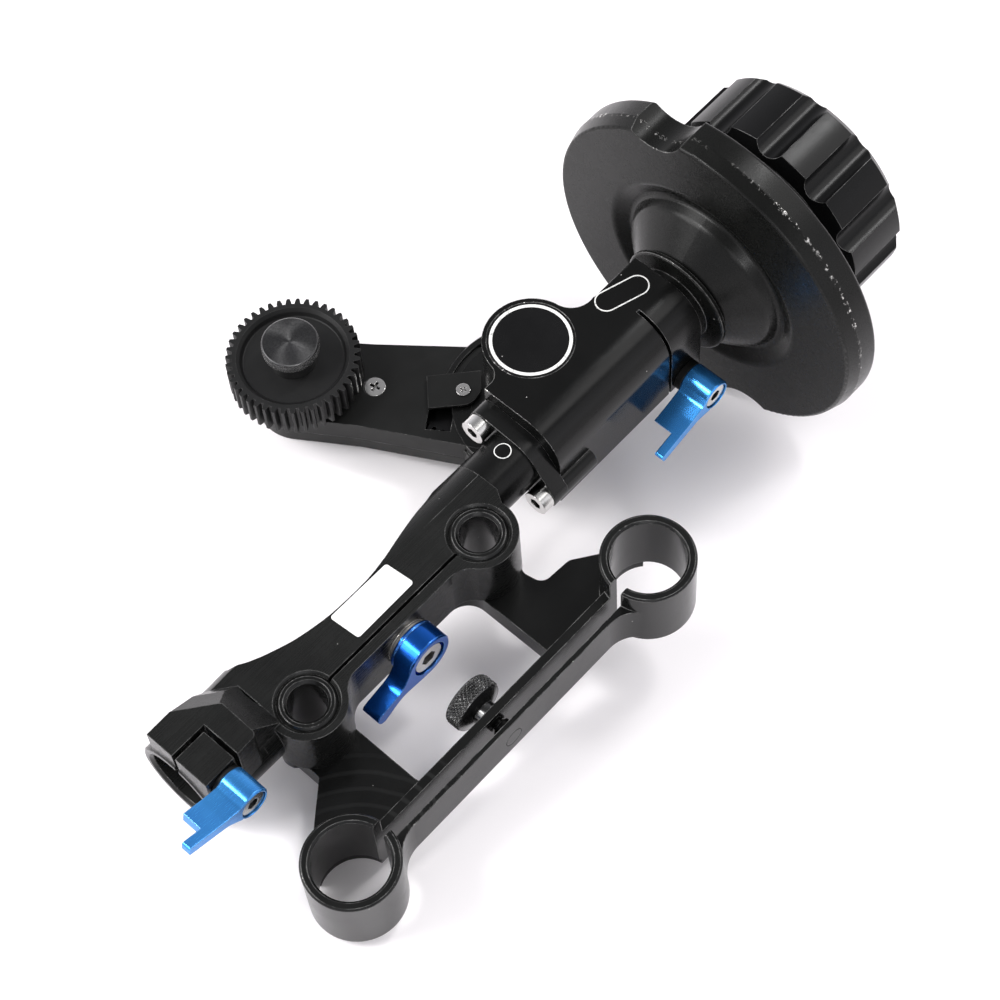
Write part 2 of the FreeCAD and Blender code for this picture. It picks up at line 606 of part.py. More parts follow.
pocket(body, recess, 2.6, reverse=True)
turned(body, "Z", (PX, PY), [(1.5, 0), (1.5, 5.0), (12.0, 5.0), (12.0, 0)], groove=True)
# boss cap recess
turned(body, "Z", (PX, PY), [(24.88, 0), (24.88, 11.32), (27, 11.32), (27, 0)], groove=True)
# saw cut of the shaft clamp and its bottom slit
saw = sketch(body, "YZ_Plane", (0, 0, "$saw_cut_x"))
add_outline(saw, [(30, -8), (46.3, -8), (46.3, 30), (30, 30)])
pocket(body, saw, "$saw_cut_width", reverse=True)
under = sketch(body, "XY_Plane", (0, 0, -6))
add_outline(under, [(101.0, 45.9), (116, 45.9), (116, 47.1), (101.0, 47.1)])
pocket(body, under, 11.5, reverse=True)
hole = sketch(body, "XZ_Plane", (0, 0, -30))
add_circle(hole, (107.4, 0.6), "$hole_radius")
pocket(body, hole, 23.0)
# tapped holes of the flange screws
for ey, ez in EARS:
    tap = sketch(body, "YZ_Plane", (0, 0, 58))
    add_circle(tap, (ey, ez), "$hole_radius")
    pocket(body, tap, 10.5, reverse=True)

# cover of the spur chamber with two countersunk screws
body = new_body("bottom_cover")
sk = sketch(body, "XY_Plane", (0, 0, -2.8))
add_outline(sk, [(PX - 10.15, AY - 10.15, 10.14), (PX + 10.15, AY - 10.15, 10.14), (PX + 10.15, PY + 10.15, 10.14), (PX - 10.15, PY + 10.15, 10.14)])
pad(body, sk, 1.38)
sk = sketch(body, "XY_Plane", (0, 0, -4))
add_circle(sk, (PX, PY), 3.9)
add_circle(sk, (PX, AY), 3.4)
pocket(body, sk, 5, reverse=True)

keep(cut(cyl("$cap_radius", "$cap_thickness", ("$pivot_x", "$pivot_y", "$housing_top - $cap_thickness")),
         cyl(1.0, 0.5, ("$pivot_x", "$pivot_y", "$housing_top - $cap_thickness"))), "boss_cap")

# two-eared flange on the tube, and its cap screws
body = new_body("end_flange")
sk = sketch(body, "YZ_Plane", (0, 0, "$flange_front_x"))
big, small, gap = 8.9, dim("ear_radius"), dim("ear_offset")
tilt = math.asin((big - small) / gap)


def tangent_points(sign_ear, sign_side):
    # outer tangent between the hub circle and one ear circle
    base = EA if sign_ear > 0 else EA + math.pi
    ang = base + sign_side * (math.pi / 2.0 - tilt)
    ear = (AY + gap * math.cos(base), AZ + gap * math.sin(base))
    return (v(AY + big * math.cos(ang), AZ + big * math.sin(ang)),
            v(ear[0] + small * math.cos(ang), ear[1] + small * math.sin(ang)),
            v(ear[0] + small * math.cos(base), ear[1] + small * math.sin(base)))


h1, e1, tip1 = tangent_points(1, 1)
h2, e2, _ = tangent_points(1, -1)
h3, e3, tip2 = tangent_points(-1, 1)
h4, e4, _ = tangent_points(-1, -1)
hub_mid = [v(AY + big * math.cos(EA + s * math.pi / 2), AZ + big * math.sin(EA + s * math.pi / 2)) for s in (1, -1)]
geo = [Part.LineSegment(h1, e1), Part.LineSegment(h2, e2), Part.LineSegment(h3, e3), Part.LineSegment(h4, e4)]
for item in ((e1, tip1, e2), (e3, tip2, e4), (h1, hub_mid[0], h4), (h2, hub_mid[1], h3)):
    shape = Part.Arc(*item).toShape()
    geo.append(Part.ArcOfCircle(shape.Curve, *shape.ParameterRange))
sk.addGeometry(geo, False)
pad(body, sk, "$housing_front_x - $flange_front_x")
sk = sketch(body, "YZ_Plane", (0, 0, 50))
add_circle(sk, (AY, AZ), 8.15)
for ey, ez in EARS:
    add_circle(sk, (ey, ez), "$hole_radius")
pocket(body, sk, 12, reverse=True)

screws = []
for ey, ez in EARS:
    shank = cyl("$screw_radius", 14.0, (54.0, ey, ez), "X")
    head = cyl(3.45, 3.5, (50.7, ey, ez), "X")
    screws.append(cut(fuse(shank, head), hexagon(3.0, 2.0, (50.69, ey, ez), "X")))
keep(group(*screws), "flange_screws")

# plain bushes for the handwheel shaft
rear = cut(cyl(9.0, 8.0, (86.0, "$axis_y", "$axis_z"), "X"), cyl("$shaft_fit_radius", 12.0, (84.0, "$axis_y", "$axis_z"), "X"))
front = cut(cyl(9.0, 9.0, (103.4, "$axis_y", "$axis_z"), "X"), cyl("$shaft_fit_radius", 12.0, (102.0, "$axis_y", "$axis_z"), "X"))
keep(group(rear, front), "shaft_bushes")
# bushes for the layshaft and the pivot shaft
keep(group(cut(cyl(4.0, 2.4, (PX, AY, 2.0)), cyl(2.53, 6, (PX, AY, 0))),
           cut(cyl(3.4, 0.98, (PX, AY, -2.78)), cyl(2.53, 6, (PX, AY, -5)))), "layshaft_bushes")
keep(group(cut(cyl(5.0, 8.0, (PX, PY, 3.0)), cyl(3.03, 12, (PX, PY, 2))),
           cut(cyl(3.9, 0.98, (PX, PY, -2.78)), cyl(3.03, 6, (PX, PY, -5)))), "pivot_bushes")

# ---------------------------------------------------------------- handwheel
body = new_body("handwheel_shaft")
turned(body, "X", (AY, AZ), [(81.2, 0), (81.2, 3.0), (85.7, 3.0), (85.7, 6.0), (94.3, 6.0), (94.3, 5.2), (95.5, 5.2),
                             (95.5, 6.0), (118.3, 6.0), (118.3, 5.0), (160.0, 5.0), (160.0, 2.0), (142.0, 2.0), (142.0, 0)])
keep(cut(cyl(7.4, 1.0, (94.4, "$axis_y", "$axis_z"), "X"), cyl(5.2, 3.0, (93.5, "$axis_y", "$axis_z"), "X")), "shaft_circlip")
body = new_body("hub_collar")
turned(body, "X", (AY, AZ), [(113.9, 6.0), (113.9, 10.6), (114.3, 11.0), (116.4, 11.0), (116.8, 15.6), (117.1, 16.0),
                             (118.0, 16.0), (118.3, 15.7), (118.3, 6.0)])
body = new_body("handwheel_disc")
turned(body, "X", (AY, AZ), [(118.35, 5.0), (118.35, 14.6, 0.6), (121.0, 17.6, 4.0), (126.0, 23.2, 3.0), (129.2, 24.7, 1.2),
                             (129.2, 26.4, 1.2), (127.0, 30.4, 3.0), (127.0, 48.5, 0.8), (131.0, 49.7, 0.4), (137.4, 49.7, 1.2),
                             (137.4, 27.0), (138.15, 27.0), (138.15, 5.0)])
NA = math.radians(dim("notch_angle"))
notch = sketch(body, "YZ_Plane", (0, 0, 125))
for s in (-1, 1):
    add_circle(notch, (AY + s * 55.5 * math.cos(NA), AZ + s * 55.5 * math.sin(NA)), "$notch_radius")
pocket(body, notch, 15, reverse=True)

# fluted knob: a plain neck, then twelve lands with concave scallops between them
body = new_body("grip_knob")
turned(body, "X", (AY, AZ), [(138.2, 5.0), (138.2, 27.0), (138.8, 27.6), (149.4, 27.6), (151.6, 31.6), (170.0, 31.6), (171.8, 29.8), (171.8, 9.0), (169.8, 8.0), (160.2, 8.0),
                             (160.2, 5.0)])
flute = sketch(body, "YZ_Plane", (0, 0, 135))
fa = math.radians(1.6)
add_circle(flute, (AY + 33.66 * math.cos(fa), AZ + 33.66 * math.sin(fa)), 4.56)
scallop = pocket(body, flute, 40, reverse=True)
doc.recompute()
axis_sketch = sketch(body, "YZ_Plane", (AY, AZ, 0))
pattern = body.newObject("PartDesign::PolarPattern", "knob_flute_pattern")
pattern.Originals = [scallop]
pattern.Axis = (axis_sketch, ["N_Axis"])
pattern.Angle = 360
bind(pattern, "Occurrences", "$knob_flutes")
body.Tip = pattern

head = cut(cyl(6.4, 3.2, (160.22, "$axis_y", "$axis_z"), "X"), hexagon(5.0, 2.4, (161.3, "$axis_y", "$axis_z"), "X"))
keep(fuse(head, cyl(1.95, 16.0, (144.3, "$axis_y", "$axis_z"), "X")), "knob_screw")


# ---------------------------------------------------------------- gear wheels
def inv(a):
    return math.tan(a) - a


def tooth_outline(module, teeth, addendum, dedendum, slack, cone=False):
    # half tooth of an involute wheel as (radius, half angle) pairs from root to tip
    pitch = module * teeth / 2.0
    pressure = math.radians(20.0)
    virtual = pitch * math.sqrt(2.0) if cone else pitch
    base = virtual * math.cos(pressure)
    half_pitch = (math.pi * module - slack) / (4.0 * virtual)
    points = []
    steps = 7
    for i in range(steps + 1):
        radius = pitch - dedendum + (addendum + dedendum) * i / steps
        dev = (radius - pitch) * (math.cos(math.pi / 4) if cone else 1.0)
        rho = virtual + dev
        alpha = math.acos(min(1.0, base / rho)) if rho > base else 0.0
        angle = half_pitch + inv(pressure) - inv(alpha)
        if rho <= base:
            angle = half_pitch + inv(pressure)
        points.append((radius, angle * rho / radius if cone else angle))
    return points


def spur(label, module, teeth, bottom, width, cx, cy, bore, phase, addendum=0.9, slack=0.10, chamfer=0.0, extra=None):
    m = dim(module)
    n = int(dim(teeth))
    body = new_body(label)
    flank = tooth_outline(m, n, addendum * m, 1.2 * m, slack)
    root = flank[0][0]
    turned(body, "Z", (cx, cy), [(bottom, bore), (bottom, root + 0.001), (bottom + width, root + 0.001), (bottom + width, bore)]
           if extra is None else extra)
    tooth = sketch(body, "XY_Plane", (cx, cy, bottom))
    pts = [(root - 0.4, flank[0][1])] + flank
    pts = [(r, -a) for r, a in pts] + [(r, a) for r, a in reversed(pts)]
    outline = [v(r * math.cos(a + phase), r * math.sin(a + phase)) for r, a in pts]
    tooth.addGeometry([Part.LineSegment(a, b) for a, b in zip(outline, outline[1:] + outline[:1])], False)
    single = pad(body, tooth, width)
    doc.recompute()
    pp = body.newObject("PartDesign::PolarPattern", uid("teeth"))
    pp.Originals = [single]
    pp.Axis = (tooth, ["N_Axis"])
    pp.Angle = 360
    bind(pp, "Occurrences", "$" + teeth)
    body.Tip = pp
    return body


def mesh_phase(phase_a, teeth_a, teeth_b, alpha):
    # tooth phase of wheel b so that it meshes with wheel a in direction alpha
    pitch_a = 2 * math.pi / teeth_a
    x = (phase_a - alpha) % pitch_a
    return alpha + math.pi + math.pi / teeth_b - x * teeth_a / teeth_b


EX, EY = dim("arm_dir_x"), dim("arm_dir_y")
norm = math.hypot(EX, EY)
EX, EY = EX / norm, EY / norm
ARM = math.atan2(EY, EX)


def arm_point(s, o):
    # arm coordinates: s along the arm from the pivot, o across it
    return PX + s * EX + o * EY, PY + s * EY - o * EX


NS, NC, NI = int(dim("spur_teeth")), int(dim("centre_teeth")), int(dim("idler_teeth"))
M = dim("gear_module")
S1 = M * (NC + NI) / 2.0
S2 = S1 + M * NI
S3 = S2 + M * NI
# spur pair between the layshaft and the pivot shaft
spur("layshaft_spur_gear", "spur_module", "spur_teeth", -1.3, 3.0, PX, AY, 2.5, math.pi / 2)
spur("pivot_spur_gear", "spur_module", "spur_teeth", -1.3, 3.0, PX, PY, 3.0, mesh_phase(math.pi / 2, NS, NS, math.pi / 2))
# train inside the arm
GB, GW = dim("arm_gear_bottom"), dim("arm_gear_width")
phase = ARM
spur("centre_gear", "gear_module", "centre_teeth", GB, GW, PX, PY, 3.04, phase)
phase = mesh_phase(phase, NC, NI, ARM)
X1, Y1 = arm_point(S1, 0)
spur("idler_gear_inner", "gear_module", "idler_teeth", GB, GW, X1, Y1, 2.04, phase)
phase = mesh_phase(phase, NI, NI, ARM)
X2, Y2 = arm_point(S2, 0)
spur("idler_gear_outer", "gear_module", "idler_teeth", GB, GW, X2, Y2, 2.04, phase)
phase = mesh_phase(phase, NI, NI, ARM)
X3, Y3 = arm_point(S3, 0)
spur("output_gear", "gear_module", "idler_teeth", GB, GW, X3, Y3, 3.0, phase)
# drive gear that meshes with the lens ring: recessed top face and a short hub below
DT, DW = dim("drive_top"), dim("drive_width")
spur("drive_gear", "gear_module", "drive_teeth", DT - DW, DW, X3, Y3, 3.0, ARM, addendum=0.72, slack=0.2,
     extra=[(DT - DW, 3.0), (DT - DW, 14.6), (DT - DW, 16.15), (DT, 16.15), (DT, 15.0), (DT - 0.8, 14.1), (DT - 2.0, 13.4, 0.5),
            (DT - 2.0, 3.0)])


def bevel(label, axis, phase, bore, hub_len, hub_r):
    # wheel whose teeth taper to the common apex of the two shaft axes
    m = dim("gear_module")
    n = int(dim("bevel_teeth"))
    flank = tooth_outline(m, n, 0.75, 0.95, 0.22, cone=True)
    outline = []
    for k in range(n):
        a0 = phase + 2 * math.pi * k / n
        outline += [(r, a0 - a) for r, a in flank] + [(r, a0 + a) for r, a in reversed(flank)]
    pitch = m * n / 2.0

    def wire(scale):
        pts = [Vector(r * scale * math.cos(a), r * scale * math.sin(a), -pitch * scale) for r, a in outline]
        return Part.makePolygon(pts + [pts[0]])
    shape = Part.makeLoft([wire(1.0), wire(0.62)], True, True)
    shape = shape.fuse(Part.makeCylinder(hub_r, hub_len, Vector(0, 0, -pitch - hub_len)))
    shape = shape.cut(Part.makeCylinder(bore, 30, Vector(0, 0, -20)))
    if axis == "X":
        shape.rotate(Vector(0, 0, 0), Vector(0, 1, 0), -90)
    feature = doc.addObject("Part::Feature", label)
    feature.Shape = shape.removeSplitter()
    feature.Placement = Placement(Vector(PX, AY, AZ), Rotation())
    return keep(feature, label)


# the shaft wheel has a tooth at the contact line, the layshaft wheel a gap
bevel("layshaft_bevel_gear", "Z", math.pi / int(dim("bevel_teeth")), 2.5, 1.4, 4.4)
bevel("shaft_bevel_gear", "X", 0.0, 3.0, 1.8, 4.6)

keep(cyl(2.5, 10.9, (PX, AY, -2.7)), "layshaft")
keep(fuse(cyl(3.0, 24.4, (PX, PY, -13.6)), cyl(4.2, 0.6, (PX, PY, 2.2))), "pivot_shaft")

# ---------------------------------------------------------------- arm
def arm_outline(shrink, end):
    # tapering arm outline, rounded round the output shaft and round the pivot
    w = [(0.0, -16.6 + shrink), (18.0, -14.7 + shrink), (45.0, -12.4 + shrink)]
    u = [(45.0, 13.0 - shrink), (21.0, 15.1 - shrink), (0.0, 16.6 - shrink)]
    return w, u


def arm_edges(shrink, end):
    low, high = arm_outline(shrink, end)
    P = lambda s, o: v(*arm_point(s, o))
    r = end - shrink
    rp = 16.6 - shrink
    geo = []
    pts = [P(*low[0]), P(*low[1]), P(*low[2]), P(S3, -r)]
    for a, b in zip(pts, pts[1:]):
        geo.append(Part.LineSegment(a, b))
    shape = Part.Arc(P(S3, -r), P(S3 + r, 0), P(S3, r)).toShape()
    geo.append(Part.ArcOfCircle(shape.Curve, *shape.ParameterRange))
    pts = [P(S3, r), P(*high[0]), P(*high[1]), P(*high[2])]
    for a, b in zip(pts, pts[1:]):
        geo.append(Part.LineSegment(a, b))
    shape = Part.Arc(P(0, rp), P(-rp, 0), P(0, -rp)).toShape()
    geo.append(Part.ArcOfCircle(shape.Curve, *shape.ParameterRange))
    return geo


END_R = 12.2
body = new_body("arm_housing")
sk = sketch(body, "XY_Plane", (0, 0, "$arm_split"))
sk.addGeometry(arm_edges(0.0, END_R), False)
pad(body, sk, "$arm_top - $arm_split")
sk = sketch(body, "XY_Plane", (0, 0, "$arm_split"))
sk.addGeometry(arm_edges(0.85, END_R), False)
pocket(body, sk, 5.7, reverse=True)
turned(body, "Z", (PX, PY), [(-8, 0), (-8, 4.0), (-4, 4.0), (-4, 0)], groove=True)
turned(body, "Z", (X3, Y3), [(-8, 0), (-8, 5.0), (-4, 5.0), (-4, 0)], groove=True)
turned(body, "Z", (X2, Y2), [(-8, 0), (-8, 2.0), (-5.9, 2.0), (-5.0, 3.0), (-4, 3.0), (-4, 0)], groove=True)
turned(body, "Z", (X1, Y1), [(-8, 0), (-8, 2.0), (-5.9, 2.0), (-5.9, 0)], groove=True)
# inspection window beside the stop plate
sk = sketch(body, "XY_Plane", (0, 0, -8))
corners = [arm_point(*p) for p in ((20.8, -11.2), (27.4, -11.2), (27.4, -1.5), (20.8, -1.5))]
add_outline(sk, corners)
win = pocket(body, sk, 6, reverse=True)

body = new_body("arm_cover")
sk = sketch(body, "XY_Plane", (0, 0, "$arm_bottom"))
sk.addGeometry(arm_edges(0.0, END_R), False)
pad(body, sk, "$arm_split - $arm_bottom - 0.05")
sk = sketch(body, "XY_Plane", (0, 0, -14.8))
sk.addGeometry(arm_edges(0.85, END_R), False)
pocket(body, sk, 5.0, reverse=True)
turned(body, "Z", (X3, Y3), [(-17, 0), (-17, 4.5), (-12, 4.5), (-12, 0)], groove=True)
for px_, py_ in ((X1, Y1), (X2, Y2)):
    turned(body, "Z", (px_, py_), [(-15.6, 0), (-15.6, 2.02), (-12, 2.02), (-12, 0)], groove=True)

# rim drum round the pivot end of the arm, split where the arm passes through
P0 = (PX, PY)
drum = new_body("turret_drum")
turned(drum, "Z", P0, [(-11.9, 16.7), (-11.9, 24.9), (-11.6, 25.2), (-4.5, 25.2), (-4.2, 24.9), (-4.2, 23.5), (-4.4, 23.3), (-7.6, 23.3),
                       (-7.6, 21.9), (-4.95, 21.9), (-4.95, 16.7)])
sk = sketch(drum, "XY_Plane", (0, 0, -13))
p = lambda s, o: arm_point(s, o)
add_outline(sk, [p(0, -16.68), p(18, -14.8), p(30, -13.75), p(30, 14.4), p(21, 15.2), p(0, 16.68)])
pocket(drum, sk, 8.02, reverse=True)
# the rim ends under the stop plate; beyond it the drum steps in to a plain disc
sk = sketch(drum, "XY_Plane", (0, 0, -13))
low = [p(24.0, -2.5), p(30.0, -2.5), p(30.0, -30.0), p(-8.0, -30.0)]
a0, a1 = (math.atan2(q[1] - PY, q[0] - PX) for q in (p(22.3, -2.5), p(-8.0, -20.9)))
edge = 22.45
start = v(PX + edge * math.cos(a0), PY + edge * math.sin(a0))
stop = v(PX + edge * math.cos(a1), PY + edge * math.sin(a1))
mid_angle = ARM + math.pi / 2.0 - math.radians(35.0)
middle = v(PX + edge * math.cos(mid_angle), PY + edge * math.sin(mid_angle))
rim = Part.Arc(start, middle, stop).toShape()
corners = [v(*q) for q in low]
sk.addGeometry([Part.ArcOfCircle(rim.Curve, *rim.ParameterRange), Part.LineSegment(start, corners[0]),
                Part.LineSegment(corners[0], corners[1]), Part.LineSegment(corners[1], corners[2]),
                Part.LineSegment(corners[2], corners[3]), Part.LineSegment(corners[3], stop)], False)
pocket(drum, sk, 12, reverse=True)
sk = sketch(drum, "XY_Plane", (0, 0, -13))
add_outline(sk, [(45.0, 30.0), (110.0, 30.0), (110.0, 44.0), (45.0, 44.0)])
pocket(drum, sk, 12, reverse=True)

# pivot bearing race between the drum and the boss
keep(cut(cyl(13.2, 2.15, (PX, PY, -5.0)), cyl(3.9, 4, (PX, PY, -6))), "turret_race")

# plate across the drum rim, with its small cross-head screw
body = new_body("stop_plate")
sk = sketch(body, "XY_Plane", (0, 0, -4.15))
corners = [arm_point(*q) for q in ((29.4, 3.9), (27.4, -5.8), (16.2, -3.2), (14.3, 1.2), (15.3, 7.3))]
radii = [0.3, 0.3, 5.0, 4.0, 0.3]
add_outline(sk, [(c[0], c[1], r) for c, r in zip(corners, radii)])
pad(body, sk, 0.85)
hx, hy = arm_point(19.1, 0.7)
sk = sketch(body, "XY_Plane", (0, 0, -6))
add_circle(sk, (hx, hy), 1.05)
pocket(body, sk, 6, reverse=True)


def cross_recess(x, y, top, arm, depth, turn):
    slots = []
    for k in (0, 90):
        b = box((arm * 2, arm * 0.5, depth + 0.2), (0, 0, 0))
        rot = Rotation(Vector(0, 0, 1), turn + k)
        offset = rot.multVec(Vector(-arm, -arm * 0.25, 0))
        b.Placement = Placement(Vector(x + offset.x, y + offset.y, top - depth), rot)
        slots.append(b)
    return fuse(*slots)


small = fuse(cyl(1.0, 1.6, (hx, hy, -4.9)), cone(1.6, 1.9, 0.35, (hx, hy, -3.3)))
keep(cut(small, cross_recess(hx, hy, -2.95, 0.95, 0.3, 20)), "stop_plate_screw")

# idler axles; the outer one shows its countersunk cross head on the arm
inner = cyl(2.0, 9.6, (X1, Y1, -15.55))
outer = fuse(cyl(2.0, 9.7, (X2, Y2, -15.55)), cone(2.0, 2.9, 0.8, (X2, Y2, -5.85)))
keep(group(inner, cut(outer, cross_recess(X2, Y2, -5.05, 1.5, 0.7, 12))), "idler_axles")

# output shaft with its bushes, and the knurled screw that holds the drive gear
body = new_body("output_shaft")
turned(body, "Z", (X3, Y3), [(-15.9, 0), (-15.9, 3.0), (-3.9, 3.0), (-3.9, 7.0), (-3.02, 7.0), (-3.02, 3.0), (4.4, 3.0), (4.4, 2.05), (-2.0, 2.05), (-2.0, 0)])
keep(group(cut(cyl(5.0, 1.5, (X3, Y3, -6.2)), cyl(3.03, 6, (X3, Y3, -8))),
           cut(cyl(4.5, 1.7, (X3, Y3, -16.0)), cyl(3.03, 6, (X3, Y3, -18)))), "output_bushes")
body = new_body("gear_thumbscrew")
turned(body, "Z", (X3, Y3), [(-1.2, 0), (-1.2, 2.0), (4.52, 2.0), (4.52, 6.2), (5.0, 6.3), (8.6, 5.3), (9.8, 5.3), (9.8, 7.3), (10.2, 7.7),
                             (13.15, 7.7), (13.4, 7.45), (13.4, 0)])

# ---------------------------------------------------------------- write out
doc.recompute()
bad = [o.Name for o in doc.Objects if "Invalid" in o.State or "Error" in o.State]
if bad:
    raise RuntimeError("failed objects: %s" % ", ".join(bad))
os.makedirs("parts", exist_ok=True)
names = set()
for obj in PARTS:
    shape = obj.Shape
    if shape.isNull() or not shape.isValid() or shape.Volume <= 0:
        raise RuntimeError("bad shape: %s" % obj.Label)
    if obj.Label in names:
        raise RuntimeError("label used twice: %s" % obj.Label)
    names.add(obj.Label)
    shape.exportStep(os.path.join("parts", obj.Label + ".step"))
    print("%-22s solids %d volume %9.1f  z %7.2f to %7.2f" % (
        obj.Label, len(shape.Solids), shape.Volume, shape.BoundBox.ZMin, shape.BoundBox.ZMax))
print(len(PARTS), "sub-parts")
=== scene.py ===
import bpy
import bmesh
import math
from mathutils import Vector, Matrix


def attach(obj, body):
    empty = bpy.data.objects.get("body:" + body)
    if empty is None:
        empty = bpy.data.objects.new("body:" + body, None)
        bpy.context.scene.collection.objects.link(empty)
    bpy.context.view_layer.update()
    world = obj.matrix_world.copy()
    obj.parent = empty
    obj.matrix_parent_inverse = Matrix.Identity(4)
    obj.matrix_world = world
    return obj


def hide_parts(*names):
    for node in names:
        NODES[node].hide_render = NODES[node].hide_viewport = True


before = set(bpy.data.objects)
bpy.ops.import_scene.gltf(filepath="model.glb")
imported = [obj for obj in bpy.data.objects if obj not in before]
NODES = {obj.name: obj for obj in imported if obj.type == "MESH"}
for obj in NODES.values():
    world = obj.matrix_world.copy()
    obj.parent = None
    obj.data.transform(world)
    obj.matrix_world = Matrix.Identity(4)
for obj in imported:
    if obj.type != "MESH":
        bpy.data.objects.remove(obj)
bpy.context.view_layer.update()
MM = 0.001

# ------------------------------------------------------------------ camera
cam_data = bpy.data.cameras.new("camera")
cam = bpy.data.objects.new("camera", cam_data)
bpy.context.scene.collection.objects.link(cam)
RIGHT = Vector((0.6736063, -0.7376945, -0.0454033))
DOWN = Vector((-0.6618795, -0.5747604, -0.4812130))
AHEAD = Vector((0.3288921, 0.3541996, -0.8754271))
cam_pos = Vector((-168.5798989, -186.9725133, 576.7642672)) * MM
rot = Matrix((RIGHT, -DOWN, -AHEAD)).transposed().to_4x4()
cam.matrix_world = Matrix.Translation(cam_pos) @ rot
cam_data.sensor_fit = "HORIZONTAL"
cam_data.sensor_width = 36.0
cam_data.lens = 36.0 * 2582.7711746 / 1000.0
cam_data.clip_start = 0.01
cam_data.clip_end = 50.0
bpy.context.scene.camera = cam

scene = bpy.context.scene
scene.view_settings.view_transform = "Standard"
scene.view_settings.look = "None"
scene.view_settings.exposure = 0.0
scene.view_settings.gamma = 1.0


# ------------------------------------------------------------------ node helpers
class Net:
    """A few shorthands for building one material."""

    def __init__(self, name):
        self.mat = bpy.data.materials.new(name)
        self.mat.use_nodes = True
        self.tree = self.mat.node_tree
        self.tree.nodes.clear()
        self.out = self.new("ShaderNodeOutputMaterial")
        self.bsdf = self.new("ShaderNodeBsdfPrincipled")
        self.link(self.bsdf.outputs[0], self.out.inputs[0])

    def new(self, kind, **props):
        node = self.tree.nodes.new(kind)
        for key, value in props.items():
            setattr(node, key, value)
        return node

    def link(self, a, b):
        self.tree.links.new(a, b)

    def put(self, socket, value):
        if isinstance(value, bpy.types.NodeSocket):
            self.link(value, socket)
        else:
            socket.default_value = value

    def coords(self, scale=(1, 1, 1), location=(0, 0, 0), rotation=(0, 0, 0)):
        tc = self.new("ShaderNodeTexCoord")
        mp = self.new("ShaderNodeMapping")
        mp.inputs["Scale"].default_value = scale
        mp.inputs["Location"].default_value = location
        mp.inputs["Rotation"].default_value = rotation
        self.link(tc.outputs["Object"], mp.inputs["Vector"])
        return mp.outputs["Vector"]

    def noise(self, scale, detail=3.0, rough=0.5, vec=None, distortion=0.0):
        n = self.new("ShaderNodeTexNoise")
        n.inputs["Scale"].default_value = scale
        n.inputs["Detail"].default_value = detail
        n.inputs["Roughness"].default_value = rough
        n.inputs["Distortion"].default_value = distortion
        self.link(vec if vec is not None else self.coords(), n.inputs["Vector"])
        return n.outputs["Fac"]

    def ramp(self, fac, stops):
        r = self.new("ShaderNodeValToRGB")
        self.put(r.inputs[0], fac)
        while len(r.color_ramp.elements) < len(stops):
            r.color_ramp.elements.new(0.5)
        for el, (pos, val) in zip(r.color_ramp.elements, stops):
            el.position = pos
            el.color = (val, val, val, 1) if isinstance(val, (int, float)) else tuple(val) + (1,)
        return r.outputs[0]

    def math(self, op, a, b=0.0, clamp=False):
        n = self.new("ShaderNodeMath", operation=op, use_clamp=clamp)
        self.put(n.inputs[0], a)
        self.put(n.inputs[1], b)
        return n.outputs[0]

    def vmath(self, op, a, b=None):
        n = self.new("ShaderNodeVectorMath", operation=op)
        self.put(n.inputs[0], a)
        if b is not None:
            self.put(n.inputs[1], b)
        return n.outputs["Value"] if op in ("LENGTH", "DOT_PRODUCT", "DISTANCE") else n.outputs["Vector"]

    def remap(self, fac, lo, hi, out_lo=0.0, out_hi=1.0):
        n = self.new("ShaderNodeMapRange", clamp=True)
        self.put(n.inputs["Value"], fac)
        n.inputs["From Min"].default_value = lo
        n.inputs["From Max"].default_value = hi
        n.inputs["To Min"].default_value = out_lo
        n.inputs["To Max"].default_value = out_hi
        return n.outputs["Result"]

    def mix(self, fac, a, b):
        n = self.new("ShaderNodeMix", data_type="RGBA", blend_type="MIX")
        self.put(n.inputs["Factor"], fac)
        for sock, val in ((n.inputs[6], a), (n.inputs[7], b)):
            if isinstance(val, bpy.types.NodeSocket):
                self.link(val, sock)
            else:
                sock.default_value = tuple(val) + (1,)
        return n.outputs[2]

    def bump(self, height, strength, distance, normal=None):
        n = self.new("ShaderNodeBump")
        n.inputs["Strength"].default_value = strength
        n.inputs["Distance"].default_value = distance
        self.link(height, n.inputs["Height"])
        if normal is not None:
            self.link(normal, n.inputs["Normal"])
        return n.outputs["Normal"]

    def soft_edge(self, radius):
        n = self.new("ShaderNodeBevel", samples=6)
        n.inputs["Radius"].default_value = radius
        return n.outputs["Normal"]

    def edge_mask(self, radius, lo=0.80, hi=0.985):
        bev = self.soft_edge(radius)
        geo = self.new("ShaderNodeNewGeometry")
        dot = self.vmath("DOT_PRODUCT", bev, geo.outputs["Normal"])
        return self.remap(dot, lo, hi, 1.0, 0.0)

    def radius_from(self, centre, keep):
        """Distance from an axis through centre; keep is (1, 1, 0) for an axis along Z."""
        tc = self.new("ShaderNodeTexCoord")
        sub = self.vmath("SUBTRACT", tc.outputs["Object"], centre)
        mul = self.vmath("MULTIPLY", sub, keep)
        return self.vmath("LENGTH", mul)


